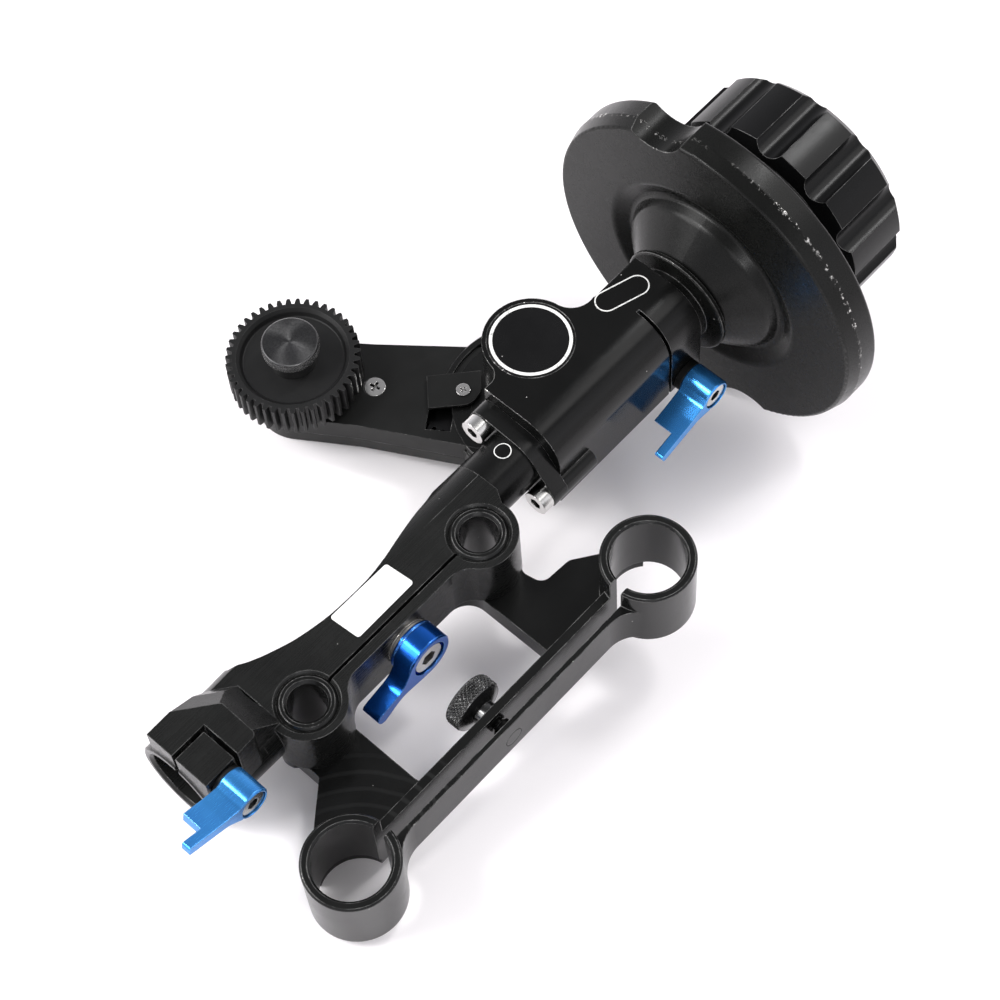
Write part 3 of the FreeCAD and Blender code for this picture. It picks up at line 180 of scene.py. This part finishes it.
def anodised(name, base=(0.0036, 0.0037, 0.0037), rough=0.30, vary=0.10, grain=0.06, edge=0.00035, wear=0.5, wear_at=0.62,
             dust=0.0, lathe=None, lathe_amount=0.25, lathe_pitch=0.00035, spec=0.24, tone=(0.0060, 0.0062, 0.0061),
             brushed=None, chips_and_rim_highlight=None, coat=0.0, painted_edge_highlight=0.5, arcs=None):
    n = Net(name)
    patch = n.noise(38.0, 4.0, 0.55)
    fine = n.noise(5200.0, 2.0, 0.6)
    smear = n.noise(140.0, 5.0, 0.65, distortion=0.4)
    colour = n.mix(n.ramp(patch, [(0.35, 0.0), (0.68, 1.0)]), base, tone)
    r = n.math("ADD", n.remap(smear, 0.3, 0.7, rough - vary * 0.5, rough + vary * 0.5), n.remap(fine, 0.3, 0.7, -0.02, 0.03))
    height = fine
    strength = grain
    normal = n.soft_edge(edge)
    normal = n.bump(height, strength, 0.00002, normal)
    if lathe:
        centre, keep = lathe
        rad = n.radius_from(centre, keep)
        ring = n.math("SINE", n.math("MULTIPLY", rad, 2 * math.pi / lathe_pitch))
        wob = n.noise(0.6 / lathe_pitch, 2.0, 0.7, vec=None)
        jitter = n.math("SINE", n.math("MULTIPLY", rad, 2 * math.pi / (lathe_pitch * 2.7)))
        lines = n.math("ADD", n.math("MULTIPLY", ring, 0.5), n.math("MULTIPLY", jitter, 0.5))
        normal = n.bump(lines, lathe_amount, 0.000012, normal)
        r = n.math("ADD", r, n.remap(wob, 0.3, 0.7, -0.02, 0.02))
    if brushed:
        stretched = n.noise(1.0, 4.0, 0.7, vec=n.coords(scale=brushed))
        normal = n.bump(stretched, 0.09, 0.00003, normal)
        r = n.math("ADD", r, n.remap(stretched, 0.3, 0.7, -0.05, 0.05))
    mask = n.edge_mask(edge * 1.2, 0.86, 0.99)
    speck = n.ramp(n.noise(1500.0, 4.0, 0.75), [(wear_at, 0.0), (wear_at + 0.05, 1.0)])
    where = n.ramp(n.noise(60.0, 2.0, 0.5), [(0.48, 0.0), (0.62, 1.0)])
    wear_and_rim_highlight = n.math("MULTIPLY", n.math("MULTIPLY", mask, speck), n.math("MULTIPLY", where, wear), clamp=True)
    # rim chips: bare metal worn through in a radial band, with the threshold set low so the chips also join into a
    # painted highlight line along the rim
    if chips_and_rim_highlight:
        for centre, keep, lo, hi, amount, thr in chips_and_rim_highlight:
            rad = n.radius_from(centre, keep)
            band = n.math("MULTIPLY", n.remap(rad, lo, lo + 0.0002), n.remap(rad, hi, hi + 0.0002, 1.0, 0.0))
            cell = n.ramp(n.noise(620.0, 6.0, 0.8), [(thr, 0.0), (thr + 0.03, 1.0)])
            zone = n.ramp(n.noise(28.0, 2.0, 0.5), [(0.44, 0.0), (0.56, 1.0)])
            extra = n.math("MULTIPLY", n.math("MULTIPLY", band, cell), n.math("MULTIPLY", zone, amount), clamp=True)
            wear_and_rim_highlight = n.math("MAXIMUM", wear_and_rim_highlight, extra)
    if arcs:
        centre, keep, lo, hi, pitch, amount = arcs
        rad = n.radius_from(centre, keep)
        band = n.math("MULTIPLY", n.remap(rad, lo, lo + 0.002), n.remap(rad, hi - 0.004, hi, 1.0, 0.0))
        wave = n.math("ADD", n.math("MULTIPLY", rad, 2 * math.pi / pitch), n.math("MULTIPLY", n.noise(55.0, 2.0, 0.5), 3.0))
        swirl = n.ramp(n.math("MULTIPLY", n.math("SINE", wave), 0.5), [(0.25, 0.0), (0.5, 1.0)])
        colour = n.mix(n.math("MULTIPLY", n.math("MULTIPLY", band, swirl), amount), colour, (0.020, 0.0205, 0.020))
    # painted highlight: a broken bright line mixed into the base colour along every edge, standing in for light caught
    # by the chamfers
    if painted_edge_highlight > 0:
        edge_highlight_mask = n.edge_mask(edge * 0.7, 0.90, 0.985)
        run = n.ramp(n.noise(210.0, 3.0, 0.6), [(0.42, 0.12), (0.62, 1.0)])
        colour = n.mix(n.math("MULTIPLY", n.math("MULTIPLY", edge_highlight_mask, run), painted_edge_highlight, clamp=True), colour, (0.26, 0.26, 0.255))
    colour = n.mix(wear_and_rim_highlight, colour, (0.62, 0.61, 0.59))
    if dust > 0:
        v = n.new("ShaderNodeTexVoronoi", feature="F1")
        v.inputs["Scale"].default_value = 420.0
        n.link(n.coords(), v.inputs["Vector"])
        dot = n.remap(v.outputs["Distance"], 0.045, 0.075, 1.0, 0.0)
        sep = n.new("ShaderNodeSeparateColor")
        n.link(v.outputs["Color"], sep.inputs[0])
        rare = n.math("GREATER_THAN", sep.outputs[0], 1.0 - dust)
        colour = n.mix(n.math("MULTIPLY", n.math("MULTIPLY", dot, rare), 0.75), colour, (0.55, 0.54, 0.52))
    n.put(n.bsdf.inputs["Base Color"], colour)
    n.put(n.bsdf.inputs["Metallic"], wear_and_rim_highlight)
    n.put(n.bsdf.inputs["Roughness"], r)
    n.bsdf.inputs["Specular IOR Level"].default_value = spec
    if coat > 0:
        n.bsdf.inputs["Coat Weight"].default_value = coat
        n.bsdf.inputs["Coat Roughness"].default_value = 0.12
    n.put(n.bsdf.inputs["Normal"], normal)
    return n.mat


def metal(name, base, tone, rough=0.24, vary=0.1, grain=0.05, edge=0.0002, lathe=None, lathe_pitch=0.0003, lathe_amount=0.35,
          brushed=None, dirt=0.4, metallic=1.0, painted_recess_shade=0.0):
    n = Net(name)
    patch = n.noise(120.0, 4.0, 0.6)
    fine = n.noise(6200.0, 2.0, 0.6)
    colour = n.mix(n.ramp(patch, [(0.35, 0.0), (0.7, 1.0)]), base, tone)
    grime = n.ramp(n.noise(420.0, 5.0, 0.7), [(0.55, 0.0), (0.75, 1.0)])
    colour = n.mix(n.math("MULTIPLY", grime, dirt), colour, tuple(c * 0.45 for c in base))
    # painted shade: the base colour darkened by ambient occlusion in recesses and hollows
    if painted_recess_shade > 0:
        recess_ao_shade = n.new("ShaderNodeAmbientOcclusion", samples=8)
        recess_ao_shade.inputs["Distance"].default_value = 0.0022
        colour = n.mix(n.remap(recess_ao_shade.outputs["AO"], 0.30, 0.85, painted_recess_shade, 0.0), colour, (0.012, 0.011, 0.010))
    r = n.remap(patch, 0.3, 0.7, rough - vary * 0.5, rough + vary * 0.5)
    normal = n.bump(fine, grain, 0.00002, n.soft_edge(edge))
    if lathe:
        centre, keep = lathe
        rad = n.radius_from(centre, keep)
        ring = n.math("SINE", n.math("MULTIPLY", rad, 2 * math.pi / lathe_pitch))
        normal = n.bump(ring, lathe_amount, 0.00001, normal)
    if brushed:
        stretched = n.noise(1.0, 4.0, 0.7, vec=n.coords(scale=brushed))
        normal = n.bump(stretched, 0.2, 0.00002, normal)
        r = n.math("ADD", r, n.remap(stretched, 0.3, 0.7, -0.06, 0.06))
    n.put(n.bsdf.inputs["Base Color"], colour)
    n.bsdf.inputs["Metallic"].default_value = metallic
    n.put(n.bsdf.inputs["Roughness"], r)
    n.put(n.bsdf.inputs["Normal"], normal)
    return n.mat


AX = ((0.0, 0.0467, 0.0125), (0.0, 1.0, 1.0))
PIV = ((0.0774, 0.0610, 0.0), (1.0, 1.0, 0.0))
_e = Vector((-0.558, 0.830)).normalized()


def arm_point(s, o):
    return 77.4 + s * _e.x + o * _e.y, 61.0 + s * _e.y - o * _e.x


S1, S2, S3 = 22.0, 42.8, 63.6
X3, Y3 = arm_point(S3, 0)
X2, Y2 = arm_point(S2, 0)
OUT = ((X3 * MM, Y3 * MM, 0.0), (1.0, 1.0, 0.0))

M_BODY = anodised("anodised_body", rough=0.20, vary=0.12, wear=1.0, wear_at=0.56, dust=0.04, painted_edge_highlight=0.7)
M_BRIDGE = anodised("anodised_bridge", base=(0.0048, 0.0050, 0.0048), tone=(0.0080, 0.0083, 0.0079), rough=0.27, vary=0.10,
                    brushed=(40, 3000, 3000), wear=0.9, wear_at=0.60, dust=0.03, painted_edge_highlight=0.7, spec=0.28)
M_HOUSE = anodised("anodised_housing", base=(0.0024, 0.0025, 0.0024), tone=(0.0038, 0.0039, 0.0038), rough=0.19, vary=0.07, wear=1.0,
                   wear_at=0.57, dust=0.06, painted_edge_highlight=0.9, spec=0.22)
M_TUBE = anodised("anodised_tube", rough=0.22, spec=0.16, lathe=((0.0, 0.0467, 0.0125), (1.0, 0.0, 0.0)), lathe_pitch=0.00045, lathe_amount=0.15,
                  wear=0.8, painted_edge_highlight=0.4)
M_DISC = anodised("anodised_disc", base=(0.0034, 0.0036, 0.0033), tone=(0.0052, 0.0054, 0.0050), rough=0.27, vary=0.08, lathe=AX,
                  lathe_amount=0.05, dust=0.04, wear=1.0, wear_at=0.56, spec=0.17, painted_edge_highlight=0.8, edge=0.0005,
                  chips_and_rim_highlight=[((0.1310, 0.0, 0.0), (1.0, 0.0, 0.0), -0.001, 0.00045, 1.0, 0.565)])
M_KNOB = anodised("anodised_knob", base=(0.0030, 0.0031, 0.0032), tone=(0.0050, 0.0051, 0.0052), rough=0.24, vary=0.05, wear=0.5,
                  wear_at=0.60, dust=0.02, spec=0.17, painted_edge_highlight=0.9)
M_ARM = anodised("anodised_arm", base=(0.0056, 0.0058, 0.0056), tone=(0.0090, 0.0093, 0.0090), rough=0.38, vary=0.10, wear=0.7,
                 wear_at=0.60, dust=0.03, painted_edge_highlight=0.5)
M_DRUM = anodised("anodised_drum", base=(0.0040, 0.0041, 0.0040), rough=0.30, lathe=PIV, lathe_amount=0.15, wear=0.9, painted_edge_highlight=0.5)
M_RINGS = anodised("anodised_bracket", base=(0.0036, 0.0037, 0.0036), tone=(0.0062, 0.0064, 0.0062), rough=0.20, vary=0.10, wear=1.0,
                   wear_at=0.57, dust=0.05, painted_edge_highlight=0.9, spec=0.25, edge=0.00045,
                   arcs=((-0.052, 0.0, 0.0), (1.0, 1.0, 0.0), 0.0135, 0.036, 0.0042, 0.45))
M_SCREW_BLACK = anodised("knurled_black", base=(0.0055, 0.0055, 0.0057), tone=(0.0095, 0.0095, 0.0095), rough=0.20, vary=0.08, wear=0.8,
                         wear_at=0.55, edge=0.00010, spec=0.85, painted_edge_highlight=0.9)
M_GEAR_BLACK = anodised("gear_black", base=(0.0060, 0.0061, 0.0062), tone=(0.0095, 0.0095, 0.0097), rough=0.45, vary=0.10, lathe=OUT,
                        lathe_amount=0.2, wear=0.25, wear_at=0.66, edge=0.00015, painted_edge_highlight=0.45)
M_GREY = metal("grey_plate", (0.10, 0.10, 0.10), (0.06, 0.06, 0.062), rough=0.36, dirt=0.4)
M_STEEL = metal("stainless", (0.70, 0.695, 0.68), (0.54, 0.53, 0.52), rough=0.20, dirt=0.35, painted_recess_shade=0.95)
M_WASHER = metal("spring_steel", (0.66, 0.65, 0.62), (0.54, 0.53, 0.51), rough=0.25, dirt=0.3, metallic=0.8)
M_GEAR_DARK = metal("blackened_steel", (0.030, 0.030, 0.031), (0.020, 0.020, 0.021), rough=0.34, dirt=0.5)
M_GEAR = metal("cut_steel", (0.40, 0.40, 0.40), (0.28, 0.28, 0.285), rough=0.30, dirt=0.4)
M_BRONZE = metal("sintered_bronze", (0.45, 0.28, 0.13), (0.33, 0.20, 0.09), rough=0.42, dirt=0.5)
M_NYLON = anodised("dull_nylon", base=(0.004, 0.004, 0.004), tone=(0.006, 0.006, 0.006), rough=0.5, wear=0.0, painted_edge_highlight=0.3)
M_SHAFT = anodised("dark_shaft", base=(0.004, 0.004, 0.004), rough=0.18, lathe=((0.0, 0.0467, 0.0125), (1.0, 0.0, 0.0)), wear=0.3)


def blue_material(name, base, tone, rough, metallic):
    """Blue anodised aluminium: a brushed face, edges lightened in the base colour as a painted highlight, and hardly
    any grime.
    """
    n = Net(name)
    patch = n.noise(90.0, 3.0, 0.55)
    streak = n.noise(1.0, 4.0, 0.65, vec=n.coords(scale=(260, 9000, 260)))
    fine = n.noise(5600.0, 2.0, 0.6)
    colour = n.mix(n.ramp(patch, [(0.35, 0.0), (0.68, 1.0)]), base, tone)
    colour = n.mix(n.math("MULTIPLY", n.ramp(streak, [(0.45, 0.0), (0.75, 1.0)]), 0.07), colour, tuple(min(1.0, c * 1.5 + 0.02) for c in base))
    # painted highlight: edges lightened towards a pale blue in the base colour
    edge_highlight_mask = n.edge_mask(0.0004, 0.88, 0.985)
    colour = n.mix(n.math("MULTIPLY", edge_highlight_mask, 0.55), colour, (0.22, 0.52, 0.92))
    rub = n.math("MULTIPLY", n.edge_mask(0.0003, 0.86, 0.98), n.ramp(n.noise(1300.0, 4.0, 0.75), [(0.62, 0.0), (0.66, 1.0)]))
    colour = n.mix(n.math("MULTIPLY", rub, 0.8), colour, (0.80, 0.82, 0.84))
    normal = n.bump(streak, 0.05, 0.00002, n.bump(fine, 0.04, 0.00002, n.soft_edge(0.0004)))
    n.put(n.bsdf.inputs["Base Color"], colour)
    n.bsdf.inputs["Metallic"].default_value = metallic
    n.put(n.bsdf.inputs["Roughness"], n.remap(streak, 0.3, 0.7, rough - 0.05, rough + 0.05))
    n.put(n.bsdf.inputs["Normal"], normal)
    return n.mat


def brushed_cap():
    """Dark turned face whose fine circular lines draw the light out into a radial fan."""
    n = Net("brushed_cap")
    rad = n.radius_from(*OUT)
    ring = n.math("SINE", n.math("MULTIPLY", rad, 2 * math.pi / 0.00030))
    fine = n.noise(1800.0, 3.0, 0.6)
    shade = n.math("ADD", n.math("MULTIPLY", ring, 0.25), n.math("MULTIPLY", fine, 0.75))
    colour = n.mix(n.ramp(shade, [(0.15, 0.0), (0.6, 1.0)]), (0.045, 0.045, 0.046), (0.095, 0.095, 0.096))
    n.put(n.bsdf.inputs["Base Color"], colour)
    n.bsdf.inputs["Metallic"].default_value = 1.0
    n.put(n.bsdf.inputs["Roughness"], n.remap(fine, 0.3, 0.7, 0.30, 0.38))
    n.bsdf.inputs["Anisotropic"].default_value = 0.9
    tangent = n.new("ShaderNodeTangent", direction_type="RADIAL", axis="Z")
    n.link(tangent.outputs[0], n.bsdf.inputs["Tangent"])
    n.put(n.bsdf.inputs["Normal"], n.bump(ring, 0.25, 0.000008))
    return n.mat


M_GEAR_TOP = brushed_cap()
# one blue anodising in three copies: the mid lever's copy is darker as painted shade and the housing lever's copy
# lighter as painted light
M_BLUE = blue_material("anodised_blue", (0.048, 0.27, 0.66), (0.036, 0.21, 0.57), 0.24, 0.75)
M_BLUE_PAINTED_SHADE = blue_material("anodised_blue_painted_shade", (0.012, 0.12, 0.52), (0.008, 0.09, 0.42), 0.18, 0.90)
M_BLUE_PAINTED_LIGHT = blue_material("anodised_blue_painted_light", (0.058, 0.33, 0.82), (0.042, 0.26, 0.71), 0.20, 0.80)


def film_material():
    n = Net("label_film")
    patch = n.noise(260.0, 4.0, 0.6)
    smudge = n.ramp(n.noise(90.0, 5.0, 0.65, distortion=0.6), [(0.45, 0.0), (0.85, 1.0)])
    colour = n.mix(n.ramp(patch, [(0.3, 0.0), (0.7, 1.0)]), (0.80, 0.80, 0.79), (0.74, 0.74, 0.735))
    colour = n.mix(n.math("MULTIPLY", smudge, 0.25), colour, (0.55, 0.54, 0.52))
    n.put(n.bsdf.inputs["Base Color"], colour)
    n.put(n.bsdf.inputs["Roughness"], n.remap(patch, 0.3, 0.7, 0.35, 0.5))
    n.put(n.bsdf.inputs["Normal"], n.bump(n.noise(700.0, 3.0, 0.5), 0.08, 0.00004, n.soft_edge(0.0001)))
    return n.mat


def ink_material():
    n = Net("white_print")
    patch = n.noise(900.0, 4.0, 0.7)
    colour = n.mix(n.ramp(patch, [(0.55, 0.0), (0.72, 1.0)]), (0.72, 0.72, 0.70), (0.30, 0.30, 0.29))
    n.put(n.bsdf.inputs["Base Color"], colour)
    n.put(n.bsdf.inputs["Roughness"], n.remap(patch, 0.3, 0.7, 0.4, 0.6))
    n.put(n.bsdf.inputs["Normal"], n.bump(patch, 0.1, 0.00002))
    return n.mat


M_FILM = film_material()
M_INK = ink_material()


def give(material, *names):
    for name in names:
        mesh = NODES[name].data
        mesh.materials.clear()
        mesh.materials.append(material)


give(M_RINGS, "rod_bracket", "bridge_posts", "strip_insert")
give(M_BRIDGE, "bridge_body")
give(M_TUBE, "spigot_tube")
give(M_HOUSE, "gear_housing", "bottom_cover", "boss_cap")
give(M_BODY, "end_flange")
give(M_DISC, "handwheel_disc", "hub_collar")
give(M_KNOB, "grip_knob")
give(M_ARM, "arm_housing", "arm_cover")
give(M_DRUM, "turret_drum", "turret_race")
give(M_SCREW_BLACK, "clamp_thumbscrew", "gear_thumbscrew")
give(M_GEAR_BLACK, "drive_gear")
give(M_BLUE, "end_lever")
give(M_BLUE_PAINTED_SHADE, "mid_lever")
give(M_BLUE_PAINTED_LIGHT, "housing_lever")
give(M_STEEL, "end_lever_screw", "mid_lever_screw", "housing_lever_screw", "flange_screws", "shaft_circlip",
     "knob_screw", "stop_plate_screw", "idler_axles")
give(M_WASHER, "mid_spring_washers")
give(M_SHAFT, "handwheel_shaft")
give(M_ARM, "stop_plate")
give(M_GEAR, "layshaft_bevel_gear", "shaft_bevel_gear", "layshaft", "pivot_shaft", "layshaft_spur_gear", "pivot_spur_gear",
     "output_gear", "output_shaft")
give(M_GEAR_DARK, "centre_gear", "idler_gear_inner", "idler_gear_outer")
give(M_BRONZE, "shaft_bushes", "layshaft_bushes", "pivot_bushes", "output_bushes")
give(M_NYLON, "end_lever_washer", "housing_lever_washer")
give(M_FILM, "label_plate")


# ------------------------------------------------------------------ new pieces
def add(name, verts, faces, material, smooth=False, sharp=35.0):
    mesh = bpy.data.meshes.new(name)
    mesh.from_pydata([tuple(v) for v in verts], [], faces)
    mesh.update()
    bm = bmesh.new()
    bm.from_mesh(mesh)
    bmesh.ops.recalc_face_normals(bm, faces=bm.faces)
    bm.to_mesh(mesh)
    bm.free()
    obj = bpy.data.objects.new(name, mesh)
    bpy.context.scene.collection.objects.link(obj)
    mesh.materials.append(material)
    if smooth:
        mesh.shade_smooth()
        mesh.set_sharp_from_angle(angle=math.radians(sharp))
    return obj


def knurled_screw(name, profile, knurl_from, knurl_to, radius, depth, teeth, frame_of, material, straight=False, per=6, rows=22):
    """A turned screw whose grip band carries a real diamond or straight knurl. profile is (along, radius) pairs from one end to
    the other without the band; frame_of(along, x, y) places a point."""
    seg = teeth * per
    rings = []
    for kind, items in profile:
        if kind == "turn":
            for along, rad in items:
                rings.append([(along, rad)] * seg)
        else:
            for row in range(rows + 1):
                t = row / rows
                along = knurl_from + (knurl_to - knurl_from) * t
                fade = min(1.0, min(t, 1 - t) * 9.0)
                ring = []
                for k in range(seg):
                    ang = 2 * math.pi * k / seg
                    if straight:
                        tri = abs(((ang * teeth / (2 * math.pi)) % 1.0) * 2 - 1)
                        h = tri
                    else:
                        shift = along / (2 * math.pi * radius / teeth)
                        a = abs(((ang * teeth / (2 * math.pi) + shift) % 1.0) * 2 - 1)
                        b = abs(((ang * teeth / (2 * math.pi) - shift) % 1.0) * 2 - 1)
                        h = min(a, b) * 1.25
                    ring.append((along, radius - depth * (1 - min(1.0, h)) * fade - depth * 0.5 * (1 - fade)))
                rings.append(ring)
    verts, faces = [], []
    for ring in rings:
        for k, (along, rad) in enumerate(ring):
            ang = 2 * math.pi * k / seg
            verts.append(frame_of(along, rad * math.cos(ang), rad * math.sin(ang)))
    for i in range(len(rings) - 1):
        for k in range(seg):
            a, b = i * seg + k, i * seg + (k + 1) % seg
            faces.append((a, b, b + seg, a + seg))
    faces.append(tuple(range(seg)))
    faces.append(tuple(range((len(rings) - 1) * seg, len(rings) * seg)))
    return add(name, verts, faces, material, smooth=True, sharp=24.0)


thumb = knurled_screw(
    "knurled_clamp_screw",
    [("turn", [(-1.5, 1.2), (-1.2, 1.5), (4.46, 1.5), (4.46, 4.5), (5.2, 4.6), (5.6, 3.5), (7.2, 3.4), (7.9, 5.2), (8.5, 6.5), (8.55, 6.9)]),
     ("knurl", None), ("turn", [(13.15, 6.9), (13.2, 6.5), (13.2, 4.6), (12.95, 4.3), (12.95, 0.3)])],
    8.7, 13.0, 7.35, 0.70, 34,
    lambda a, x, y: Vector((-0.3 + x, a, 7.25 + y)) * MM, M_SCREW_BLACK, per=8, rows=30)
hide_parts("clamp_thumbscrew")
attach(thumb, "rod_clamp_screw")

gscrew = knurled_screw(
    "knurled_gear_screw",
    [("turn", [(-1.2, 1.8), (-1.0, 2.0), (4.52, 2.0), (4.52, 6.1), (4.7, 6.25), (5.0, 6.25), (8.5, 5.27), (9.7, 5.25), (9.8, 5.5), (9.8, 7.0), (10.0, 7.35)]),
     ("knurl", None), ("turn", [(13.2, 7.4), (13.4, 7.1), (13.4, 0.9), (13.32, 0.7), (13.32, 0.2)])],
    10.1, 13.05, 7.7, 0.36, 66,
    lambda a, x, y: Vector((X3 + x, Y3 + y, a)) * MM, M_SCREW_BLACK, per=6, rows=18)
gscrew.data.materials.append(M_GEAR_TOP)
for poly in gscrew.data.polygons:
    c = poly.center
    if abs(poly.normal.z) > 0.8 and c.z > 0.0132:
        poly.material_index = 1
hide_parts("gear_thumbscrew")
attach(gscrew, "drive_screw")


def flat_ring(name, centre, inner, outer, z, thick, body, material=M_INK, seg=160):
    verts, faces = [], []
    for k in range(seg):
        a = 2 * math.pi * k / seg
        c, s = math.cos(a), math.sin(a)
        for r, h in ((inner, z), (inner + 0.04, z + thick), (outer - 0.04, z + thick), (outer, z)):
            verts.append(Vector((centre[0] + r * c, centre[1] + r * s, h)) * MM)
    for k in range(seg):
        a, b = 4 * k, 4 * ((k + 1) % seg)
        for j in range(4):
            j2 = (j + 1) % 4
            faces.append((a + j, a + j2, b + j2, b + j))
    obj = add(name, verts, faces, material)
    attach(obj, body)
    return obj


def plain_disc(name, centre, radius, z, thick, body, material, seg=128):
    verts = [Vector((centre[0], centre[1], z + thick)) * MM]
    faces = []
    for k in range(seg):
        a = 2 * math.pi * k / seg
        c, s = math.cos(a), math.sin(a)
        for r, h in ((radius - 0.05, z + thick), (radius, z + thick * 0.6), (radius, z)):
            verts.append(Vector((centre[0] + r * c, centre[1] + r * s, h)) * MM)
    for k in range(seg):
        a, b = 1 + 3 * k, 1 + 3 * ((k + 1) % seg)
        faces.append((0, a, b))
        faces.append((a, a + 1, b + 1, b))
        faces.append((a + 1, a + 2, b + 2, b + 1))
    faces.append(tuple(3 + 3 * k for k in range(seg)))
    obj = add(name, verts, faces, material)
    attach(obj, body)
    return obj


M_VINYL = anodised("gloss_vinyl", base=(0.0028, 0.0028, 0.003), tone=(0.0045, 0.0045, 0.0048), rough=0.24, vary=0.08, wear=0.0, dust=0.06, painted_edge_highlight=0.0)
plain_disc("badge_film", (77.4, 61.0), 10.95, 26.1, 0.08, "bridge", M_VINYL)
flat_ring("badge_ring", (77.4, 61.0), 9.75, 10.62, 26.18, 0.03, "bridge")


def capsule(name, a, b, radius, width, z, thick, body, seg=28):
    """A bare printed outline, two half circles joined by straight sides."""
    a, b = Vector(a), Vector(b)
    d = (b - a).normalized()
    base = math.atan2(d.y, d.x)
    path = []
    for k in range(seg + 1):
        t = base - math.pi / 2 + math.pi * k / seg
        path.append((b, t))
    for k in range(seg + 1):
        t = base + math.pi / 2 + math.pi * k / seg
        path.append((a, t))
    verts, faces = [], []
    for centre, t in path:
        c, s = math.cos(t), math.sin(t)
        for r, h in ((radius - width, z), (radius - width + 0.03, z + thick), (radius - 0.03, z + thick), (radius, z)):
            verts.append(Vector((centre.x + r * c, centre.y + r * s, h)) * MM)
    total = len(path)
    for k in range(total):
        p, q = 4 * k, 4 * ((k + 1) % total)
        for j in range(4):
            j2 = (j + 1) % 4
            faces.append((p + j, p + j2, q + j2, q + j))
    obj = add(name, verts, faces, M_INK)
    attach(obj, body)
    return obj


capsule("printed_capsule", (98.6, 54.2), (107.3, 51.45), 3.15, 0.36, 26.1, 0.03, "bridge")


def tube_mark(name, x0, ang0, radius, width, tube_r, body, seg=64):
    """A printed circle lying on the round tube."""
    verts, faces = [], []
    for k in range(seg):
        a = 2 * math.pi * k / seg
        for r, lift in ((radius - width, 0.0), (radius - width + 0.02, 0.03), (radius - 0.02, 0.03), (radius, 0.0)):
            dx, ds = r * math.cos(a), r * math.sin(a)
            t = ang0 + ds / tube_r
            rr = tube_r + lift + 0.005
            verts.append(Vector((x0 + dx, 46.7 + rr * math.cos(t), 12.5 + rr * math.sin(t))) * MM)
    for k in range(seg):
        p, q = 4 * k, 4 * ((k + 1) % seg)
        for j in range(4):
            j2 = (j + 1) % 4
            faces.append((p + j, p + j2, q + j2, q + j))
    obj = add(name, verts, faces, M_INK)
    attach(obj, body)
    return obj


tube_mark("printed_circle", 51.1, math.radians(88), 2.25, 0.26, 8.15, "bridge")

# ------------------------------------------------------------------ floor and light
# the plane through the three lowest points: the left rod ring, the arm cover and the handwheel rim
normal = Vector((0.18984, -0.02713, 1.0)).normalized()
floor_point = Vector((0.0, 0.0, -13.65)) * MM


def floor_material():
    n = Net("studio_floor")
    patch = n.noise(3.0, 2.0, 0.5)
    colour = n.mix(n.ramp(patch, [(0.3, 0.0), (0.7, 1.0)]), (0.965, 0.94, 0.955), (0.98, 0.955, 0.97))
    n.put(n.bsdf.inputs["Base Color"], colour)
    n.put(n.bsdf.inputs["Roughness"], n.remap(patch, 0.3, 0.7, 0.55, 0.65))
    n.bsdf.inputs["Specular IOR Level"].default_value = 0.2
    n.bsdf.inputs["Emission Color"].default_value = (1.0, 0.97, 0.98, 1)
    n.bsdf.inputs["Emission Strength"].default_value = 0.05
    return n.mat


size = 6.0
q = normal.to_track_quat("Z", "Y").to_matrix()
corners = [floor_point + q @ Vector((sx * size, sy * size, 0)) for sx, sy in ((-1, -1), (1, -1), (1, 1), (-1, 1))]
floor = add("studio_floor", corners, [(0, 1, 2, 3)], floor_material())

world = bpy.data.worlds.new("studio")
scene.world = world
world.use_nodes = True
wt = world.node_tree
wt.nodes.clear()
w_out = wt.nodes.new("ShaderNodeOutputWorld")
w_bg = wt.nodes.new("ShaderNodeBackground")
w_tc = wt.nodes.new("ShaderNodeTexCoord")
w_sep = wt.nodes.new("ShaderNodeSeparateXYZ")
w_ramp = wt.nodes.new("ShaderNodeValToRGB")
wt.links.new(w_tc.outputs["Generated"], w_sep.inputs[0])
wt.links.new(w_sep.outputs["Z"], w_ramp.inputs[0])
els = w_ramp.color_ramp.elements
els[0].position = 0.0
els[0].color = (1.0, 0.975, 0.99, 1)
els[1].position = 0.85
els[1].color = (0.30, 0.30, 0.31, 1)
mid = els.new(0.35)
mid.color = (0.74, 0.735, 0.78, 1)
wt.links.new(w_ramp.outputs[0], w_bg.inputs["Color"])
w_bg.inputs["Strength"].default_value = 1.18
wt.links.new(w_bg.outputs[0], w_out.inputs[0])


def softbox(name, direction, distance, size_x, size_y, power, colour=(1, 1, 1), target=(0.03, 0.05, 0.0)):
    data = bpy.data.lights.new(name, "AREA")
    data.shape = "RECTANGLE"
    data.size = size_x
    data.size_y = size_y
    data.energy = power
    data.color = colour
    obj = bpy.data.objects.new(name, data)
    bpy.context.scene.collection.objects.link(obj)
    d = Vector(direction).normalized()
    obj.location = Vector(target) + d * distance
    obj.rotation_euler = (-d).to_track_quat("-Z", "Y").to_euler()
    return obj


softbox("key_right", (0.85, -0.35, 0.95), 1.5, 1.0, 1.0, 7.0, (1.0, 0.985, 0.975))
softbox("key_left", (-0.75, 0.80, 0.95), 1.6, 1.1, 1.1, 27.0, (1.0, 0.99, 0.985))
softbox("low_front", (-0.75, -0.75, 0.9), 1.7, 0.8, 0.8, 4.2, (1.0, 1.0, 1.0))
softbox("fill_front", (0.25, -1.0, 0.55), 1.8, 1.4, 1.0, 1.8, (1.0, 0.99, 0.995))
softbox("spark_left", (-0.55, 0.45, 1.0), 1.3, 0.20, 0.20, 3.2, (1.0, 1.0, 1.0))
softbox("spark_right", (0.70, -0.05, 1.0), 1.3, 0.20, 0.20, 2.6, (1.0, 1.0, 1.0))
softbox("spark_front", (-0.45, -0.85, 0.75), 1.3, 0.18, 0.18, 1.8, (1.0, 1.0, 1.0))
